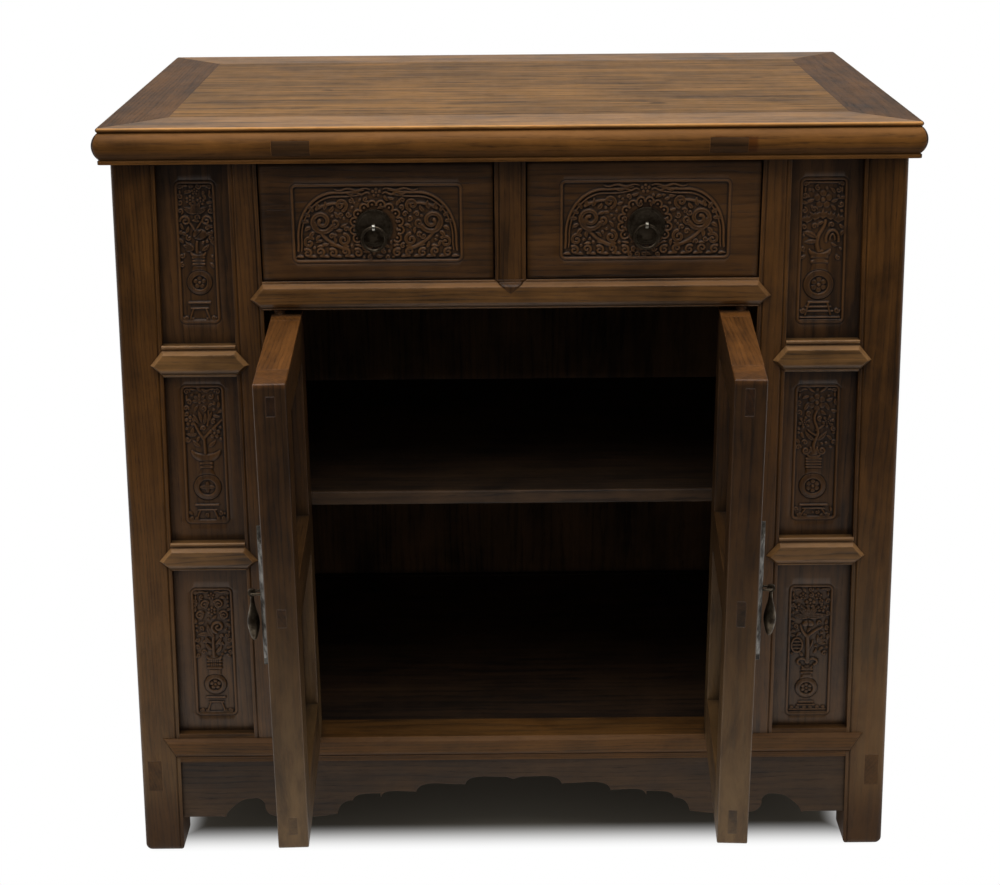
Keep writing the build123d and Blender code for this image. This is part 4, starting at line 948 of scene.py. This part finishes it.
FINISHES = (
    # name, way of the grain, stain, pith line, members, and what else the wood is told
    ("elm_top_panel", "x", GOLD, (0.0, 0.02, 0.70), "top_panel",
     dict(ring=0.0075, wander=4.0, wear_and_highlight=0.3, ior=1.2, rough=0.6, contrast=1.5, blotchy=0.6, knots=KNOTS)),
    ("elm_top_long", "x", PALE, (0.0, -0.1, 0.80), "top_frame_front top_frame_back",
     dict(ring=0.005, wander=4.0, ior=1.25, rough=0.5, wear_and_highlight=1.0, slope_light_and_shade=0.7, patches=RIM + PLUGS + LIP_HIGHLIGHT)),
    ("elm_top_ends", "y", ENDS, (0.0, 0.35, 0.78), "top_frame_left top_frame_right",
     dict(ring=0.005, ior=1.2, rough=0.6, slope_light_and_shade=0.7, patches=RIM)),
    ("elm_post", "z", RED, (0.0, 0.30, 0.02), "post_front_left post_front_right",
     dict(ring=0.0042, wear_and_highlight=0.7, dust=0.5, ior=1.35)),
    ("elm_back_post", "z", BROWN, (0.0, 0.30, 0.5), "post_back_left post_back_right",
     dict(ring=0.0042, dust=0.3, ior=1.3)),
    ("elm_stile", "z", RED, (0.0, 0.2, 0.05), "inner_stile_left inner_stile_right drawer_divider",
     dict(dust=0.2)),
    ("elm_rail", "x", ROLL, (0.0, 0.0, 0.5), "drawer_rail",
     dict(wear_and_highlight=0.9, round_off=0.0022, rough=0.34, slope_light_and_shade=0.7)),
    ("elm_column_rail", "x", WORN_AND_LIT_ROLL, (0.0, 0.0, 0.5), "column_rails_left column_rails_right",
     dict(wear_and_highlight=0.9, round_off=0.0022, rough=0.34, slope_light_and_shade=0.7)),
    ("elm_bottom_rail", "x", RED, (0.0, 0.0, 0.4), "bottom_rail_front",
     dict(wear_and_highlight=0.7, rough=0.55, ior=1.35, dust=0.15, slope_light_and_shade=0.6)),
    ("elm_apron", "x", APRON, (0.0, 0.2, -0.2), "apron_front",
     dict(ring=0.005, wear_and_highlight=0.5, rough=0.6, ior=1.4)),
    ("elm_side_rail", "y", BROWN, (0.0, 0.2, 0.3), "side_rails_left side_rails_right",
     dict(dust=0.2, ior=1.3)),
    ("elm_side_board", "z", BROWN, (0.0, 0.1, 0.15), "side_panels_left side_panels_right",
     dict(ring=0.006, wear_and_highlight=0.3, dust=0.2, ior=1.3)),
    ("elm_back", "z", BACK, (0.0, 0.2, 0.6), "back_panels", dict(ring=0.006, wear_and_highlight=0.3, rough=0.7)),
    ("elm_back_rail", "x", SHADE, (0.0, 0.2, 0.3), "back_rails bearers drawer_runners",
     dict(ring=0.005, wear_and_highlight=0.3, rough=0.7)),
    ("elm_batten", "x", BATTEN, (0.0, 0.2, 0.3), "top_battens",
     dict(ring=0.005, wear_and_highlight=0.3, rough=0.6, ior=1.25)),
    ("elm_shelf", "x", EDGE_WOOD, (0.0, 0.3, 0.7), "shelf",
     dict(ring=0.006, wear_and_highlight=0.5, rough=0.6, patches=SHELF_SHADE)),
    ("elm_floor", "x", SHADE, (0.0, 0.3, 0.7), "cupboard_floor", dict(ring=0.006, wear_and_highlight=0.5, rough=0.6)),
    ("elm_leaf_stile", "z", DEEP, (0.0, 0.1, 0.0),
     "door_left_hinge_stile door_left_meeting_stile door_right_hinge_stile door_right_meeting_stile",
     dict(wear_and_highlight=0.7, dust=0.95, patches=LIT_LEAF_TOPS)),
    ("elm_leaf_rail", "y", DEEP, (0.0, 0.1, 0.6), "door_left_rails door_right_rails",
     dict(wear_and_highlight=0.7, dust=0.6, patches=LIT_LEAF_TOPS + LEAF_TENONS)),
    ("elm_leaf_panel", "z", BROWN, (0.0, 0.4, 0.1), "door_left_panels door_right_panels",
     dict(ring=0.006, wear_and_highlight=0.4)),
    ("elm_drawer_box", "y", BARE, (0.0, 0.4, 0.5), "drawer_left_sides drawer_right_sides",
     dict(ring=0.006, wear_and_highlight=0.3, rough=0.7)),
    ("elm_drawer_cross", "x", BARE, (0.0, 0.1, 0.5),
     "drawer_left_back drawer_left_bottom drawer_right_back drawer_right_bottom",
     dict(ring=0.006, wear_and_highlight=0.3, rough=0.7)),
)
METALS = (
    # name, bright tone, tarnished tone, roughness, members
    ("iron_dark", (104, 92, 76), (58, 48, 37), 0.36,
     "drawer_left_ring drawer_right_ring drawer_left_backplate drawer_right_backplate "
     "door_left_pull door_right_pull door_left_staple door_right_staple"),
    ("steel_dull", (122, 118, 110), (58, 52, 46), 0.42, "door_left_face_plate door_right_face_plate"),
    ("brass_pale", (212, 208, 196), (150, 142, 124), 0.22, "drawer_left_staple drawer_right_staple"),
)


def dress(members, material):
    """Gives the members named in a line one material."""
    for member in members.split():
        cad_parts[member].data.materials.clear()
        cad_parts[member].data.materials.append(material)


for name, grain, colours, pith, members, more in FINISHES:
    dress(members, wood(name, grain, pith=pith, **colours, **more))
for name, bright, tarnish, rough, members in METALS:
    dress(members, metal(name, tone(*bright), tone(*tarnish), rough))

# ------------------------------------------------------------ the carved boards
FRONT_PLAY = 0.00015                              # a carved front is narrower than its node by this at each end
PANELS = (
    # side, the board's lower and upper edge in metres; then in millimetres the carving's lower and upper
    # edge, how far out its middle is and its width; drawing
    (-1, 0.640, 0.842, 661, 821, 337.0, 46.0, draw_peach),
    (-1, 0.406, 0.604, 425, 593, 343.5, 51.0, draw_blossoms),
    (-1, 0.161, 0.372, 180, 347, 348.5, 51.0, draw_scrolls),
    (1, 0.640, 0.842, 655, 819, 336.5, 54.0, draw_chrysanthemum),
    (1, 0.406, 0.604, 423, 587, 341.5, 53.0, draw_plum),
    (1, 0.161, 0.372, 173, 344, 347.0, 54.0, draw_tree),
)
FRONTS = (
    # side, the carving's left and right edge and its lower and upper edge, in millimetres, drawing
    ("left", -234.5, -49.5, 730.0, 818.0, draw_wings),
    ("right", 52.0, 236.5, 731.0, 820.0, draw_feathers),
)
SPARE = 4                                         # rows and columns of a board's grid beyond its carving
carved_columns = wood("elm_carved_column", "z", ring=0.006, pith=(0.0, 0.1, 0.25), wear_and_highlight=0.8, grime_and_shade=0.9,
                      carved=True, dust=0.2, **BROWN)
carved_drawers = wood("elm_carved_drawer", "x", ring=0.006, pith=(0.0, 0.1, 0.4), wear_and_highlight=0.8, grime_and_shade=0.9,
                      carved=True, knots=STAINS, **BROWN)


def carved_board(name, s, z, face, patina, place, back_y):
    """A board whose carving is framed by plain rows and columns."""
    return board_mesh(name, s, z, np.pad(face, SPARE), np.pad(patina, SPARE), place, back_y)


for number, (sign, low, high, carved_low, carved_high, middle, wide, draw) in enumerate(PANELS):
    side = "left" if sign < 0 else "right"
    mid = (carved_low + carved_high) / 2 * MM
    inner, outer = stile_outer(mid) - LET_IN, post_inner(mid) + LET_IN
    left, span = -outer if sign < 0 else inner, outer - inner
    x, z, face, patina = framed_relief(wide, carved_high - carved_low, draw)
    u0 = (sign * middle * MM - wide / 2 * MM - left) / span
    u = grid_lines(0.0, 1.0, u0, u0 + wide * MM / span, u0 + x * MM / span)
    z = grid_lines(low - LET_IN, high + LET_IN, carved_low * MM, carved_high * MM, (carved_low + z) * MM)

    def place(gu, gz, h, sign=sign):
        """Point of the board at a share of its width and a height, between its two leaning edges."""
        near, far = stile_outer(gz) - LET_IN, post_inner(gz) + LET_IN
        first, last = (-far, -near) if sign < 0 else (near, far)
        return np.stack((first + gu * (last - first), PANEL_FACE - h * MM, gz), -1)

    board = carved_board(f"carved_board_{side}_{number % 3 + 1}", u, z, face, patina, place, PANEL_BACK)
    board.data.materials.append(carved_columns)
    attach(board, "carcass")
    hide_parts(f"column_panels_{side}")

for side, left, right, carved_low, carved_high, draw in FRONTS:
    low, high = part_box(f"drawer_{side}_front")
    x, z, face, patina = framed_relief(right - left, carved_high - carved_low, draw)
    x = grid_lines(low.x + FRONT_PLAY, high.x - FRONT_PLAY, left * MM, right * MM, (left + x) * MM)
    z = grid_lines(low.z, high.z, carved_low * MM, carved_high * MM, (carved_low + z) * MM)

    def place(gx, gz, h, face_y=low.y):
        """Point of the drawer's front, its height standing towards the viewer's side."""
        return np.stack((gx, face_y - h * MM, gz), -1)

    board = carved_board(f"carved_front_{side}", x, z, face, patina, place, high.y)
    board.data.materials.append(carved_drawers)
    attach(board, f"drawer_{side}")
    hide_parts(f"drawer_{side}_front")

# ------------------------------------------------------------ the divider's point, lapped over the rail
ROLL_TOP, LAP_TOP, POINT_TIP, POINT_HALF = 0.708, 0.7112, 0.6975, 0.0165
ROLL_RADIUS, ROLL_MIDDLE, ROLL_BEHIND, ROLL_PROUD = 0.01153, 0.69737, 0.00287, 0.006


def over_the_roll(gs, gz, h):
    """Point of the lap: its half width shrinks evenly down to the tip, and it follows the roll, a circle
    round a line just behind the posts' faces, cut flat where it stands proud of them."""
    half = POINT_HALF * (gz - POINT_TIP) / (LAP_TOP - POINT_TIP) + 0.0004
    circle = np.sqrt(np.clip(ROLL_RADIUS ** 2 - (gz - ROLL_MIDDLE) ** 2, 0, None)) - ROLL_BEHIND
    proud = np.where(gz < ROLL_TOP, np.clip(circle, 0, ROLL_PROUD), 0.0)
    return np.stack((gs * half, FRONT - proud - h * MM, gz), -1)


across, up = np.linspace(-1, 1, 13), np.linspace(POINT_TIP, LAP_TOP, 30)
raised = np.tile(0.35 + 0.55 * (1 - np.abs(across) ** 3), (len(up), 1))
lap = board_mesh("divider_point", across, up, raised, 0.3 * raised, over_the_roll, FRONT + 0.001)
lap.data.materials.append(bpy.data.materials["elm_stile"])
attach(lap, "carcass")

# ------------------------------------------------------------ floor, light and camera
def seen(tree):
    """1 for a camera ray, and for a ray that was mirrored or let through."""
    rays = tree.node("LightPath").outputs
    shown = tree.greater(rays["Is Camera Ray"], rays["Is Glossy Ray"])
    return tree.greater(shown, rays["Is Transmission Ray"])


def mirrored_dim(tree, towards_viewer):
    """Strength of the white that is seen: 1, and 0.04 where a mirrored ray meets the viewer's side."""
    mirrored = tree.times(tree.node("LightPath").outputs["Is Glossy Ray"], towards_viewer)
    return tree.times_plus(mirrored, -0.96, 1.0)


floor_mesh = bpy.data.meshes.new("floor")
floor_mesh.from_pydata([(-20, -20, 0), (20, -20, 0), (20, 20, 0), (-20, 20, 0)], [], [(0, 1, 2, 3)])
floor = bpy.data.objects.new("floor", floor_mesh)
bpy.context.scene.collection.objects.link(floor)
floor_material = bpy.data.materials.new("pale_floor")
floor_material.use_nodes = True
floor_mesh.materials.append(floor_material)
tree = NodeTree(floor_material.node_tree)
place = tree.node("TexCoord").outputs["Object"]
albedo = tree.fit(tree.vector("LENGTH", place), 0.6, 2.2, 0.6, 0.2)        # for the light it throws back
albedo = tree.node("CombineColor", {0: albedo, 1: albedo, 2: albedo}).outputs[0]
plain = tree.node("BsdfDiffuse", {"Color": albedo}).outputs[0]
painted_shadow = tree.node("BsdfDiffuse", {"Color": (0.36, 0.33, 0.27, 1.0)}).outputs[0]     # a darker, warm floor colour under the cabinet: painted shadow
before = tree.times(tree.parts(place)[1], -1.0)
white = tree.node("Emission", {"Strength": mirrored_dim(tree, tree.fit(before, 0.55, 1.2))}).outputs[0]
from_middle = tree.vector("ABSOLUTE", tree.vector("SUBTRACT", place, (0.0, 0.12, 0.0)))
beyond = tree.parts(tree.vector("SUBTRACT", from_middle, (0.43, 0.25, 0.0)))
outside = tree.fit(tree.greater(beyond[0], beyond[1]), -0.05, 0.012)
shown = tree.node("MixShader", {0: outside, 1: painted_shadow, 2: white}).outputs[0]
both = tree.node("MixShader", {0: seen(tree), 1: plain, 2: shown}).outputs[0]
tree.node("OutputMaterial", {"Surface": both})

world = bpy.data.worlds.new("studio")
bpy.context.scene.world = world
world.use_nodes = True
tree = NodeTree(world.node_tree)
heading = tree.parts(tree.node("TexCoord").outputs["Generated"])
soft = tree.node("Background", {"Strength": tree.fit(heading[2], -0.05, 0.9, 0.42, 0.40)}).outputs[0]
strength = mirrored_dim(tree, tree.fit(heading[1], 0.1, -0.4))
white = tree.node("Background", {"Color": (1, 1, 1, 1), "Strength": strength}).outputs[0]
both = tree.node("MixShader", {0: seen(tree), 1: soft, 2: white}).outputs[0]
tree.node("OutputWorld", {"Surface": both})


def soft_box(name, place, target, size, watts):
    """A rectangular lamp that faces a point."""
    lamp = bpy.data.lights.new(name, "AREA")
    lamp.shape = "RECTANGLE"
    lamp.size, lamp.size_y = size
    lamp.energy = watts
    box = bpy.data.objects.new(name, lamp)
    box.location = place
    box.rotation_euler = (Vector(target) - Vector(place)).to_track_quat("-Z", "Y").to_euler()
    bpy.context.scene.collection.objects.link(box)


soft_box("overhead", (-0.2, -0.75, 2.6), (0, 0.0, 0.5), (2.4, 1.8), 32)

camera_data = bpy.data.cameras.new("camera")
camera_data.lens = 64.856
camera_data.sensor_width = 36
camera = bpy.data.objects.new("camera", camera_data)
pitch, yaw, roll = (math.radians(a) for a in (20.01, 0.13, -0.47))
look = Vector((math.sin(yaw) * math.cos(pitch), math.cos(yaw) * math.cos(pitch), -math.sin(pitch)))
level = Vector((math.cos(yaw), -math.sin(yaw), 0))
rise = level.cross(look)
across = level * math.cos(roll) + rise * math.sin(roll)
upward = rise * math.cos(roll) - level * math.sin(roll)
turn = Matrix((across, upward, -look)).transposed().to_4x4()
camera.matrix_world = Matrix.Translation((-0.01705, FRONT - 1.88552, 1.21097)) @ turn
bpy.context.scene.collection.objects.link(camera)
bpy.context.scene.camera = camera
bpy.context.scene.view_settings.view_transform = "Standard"
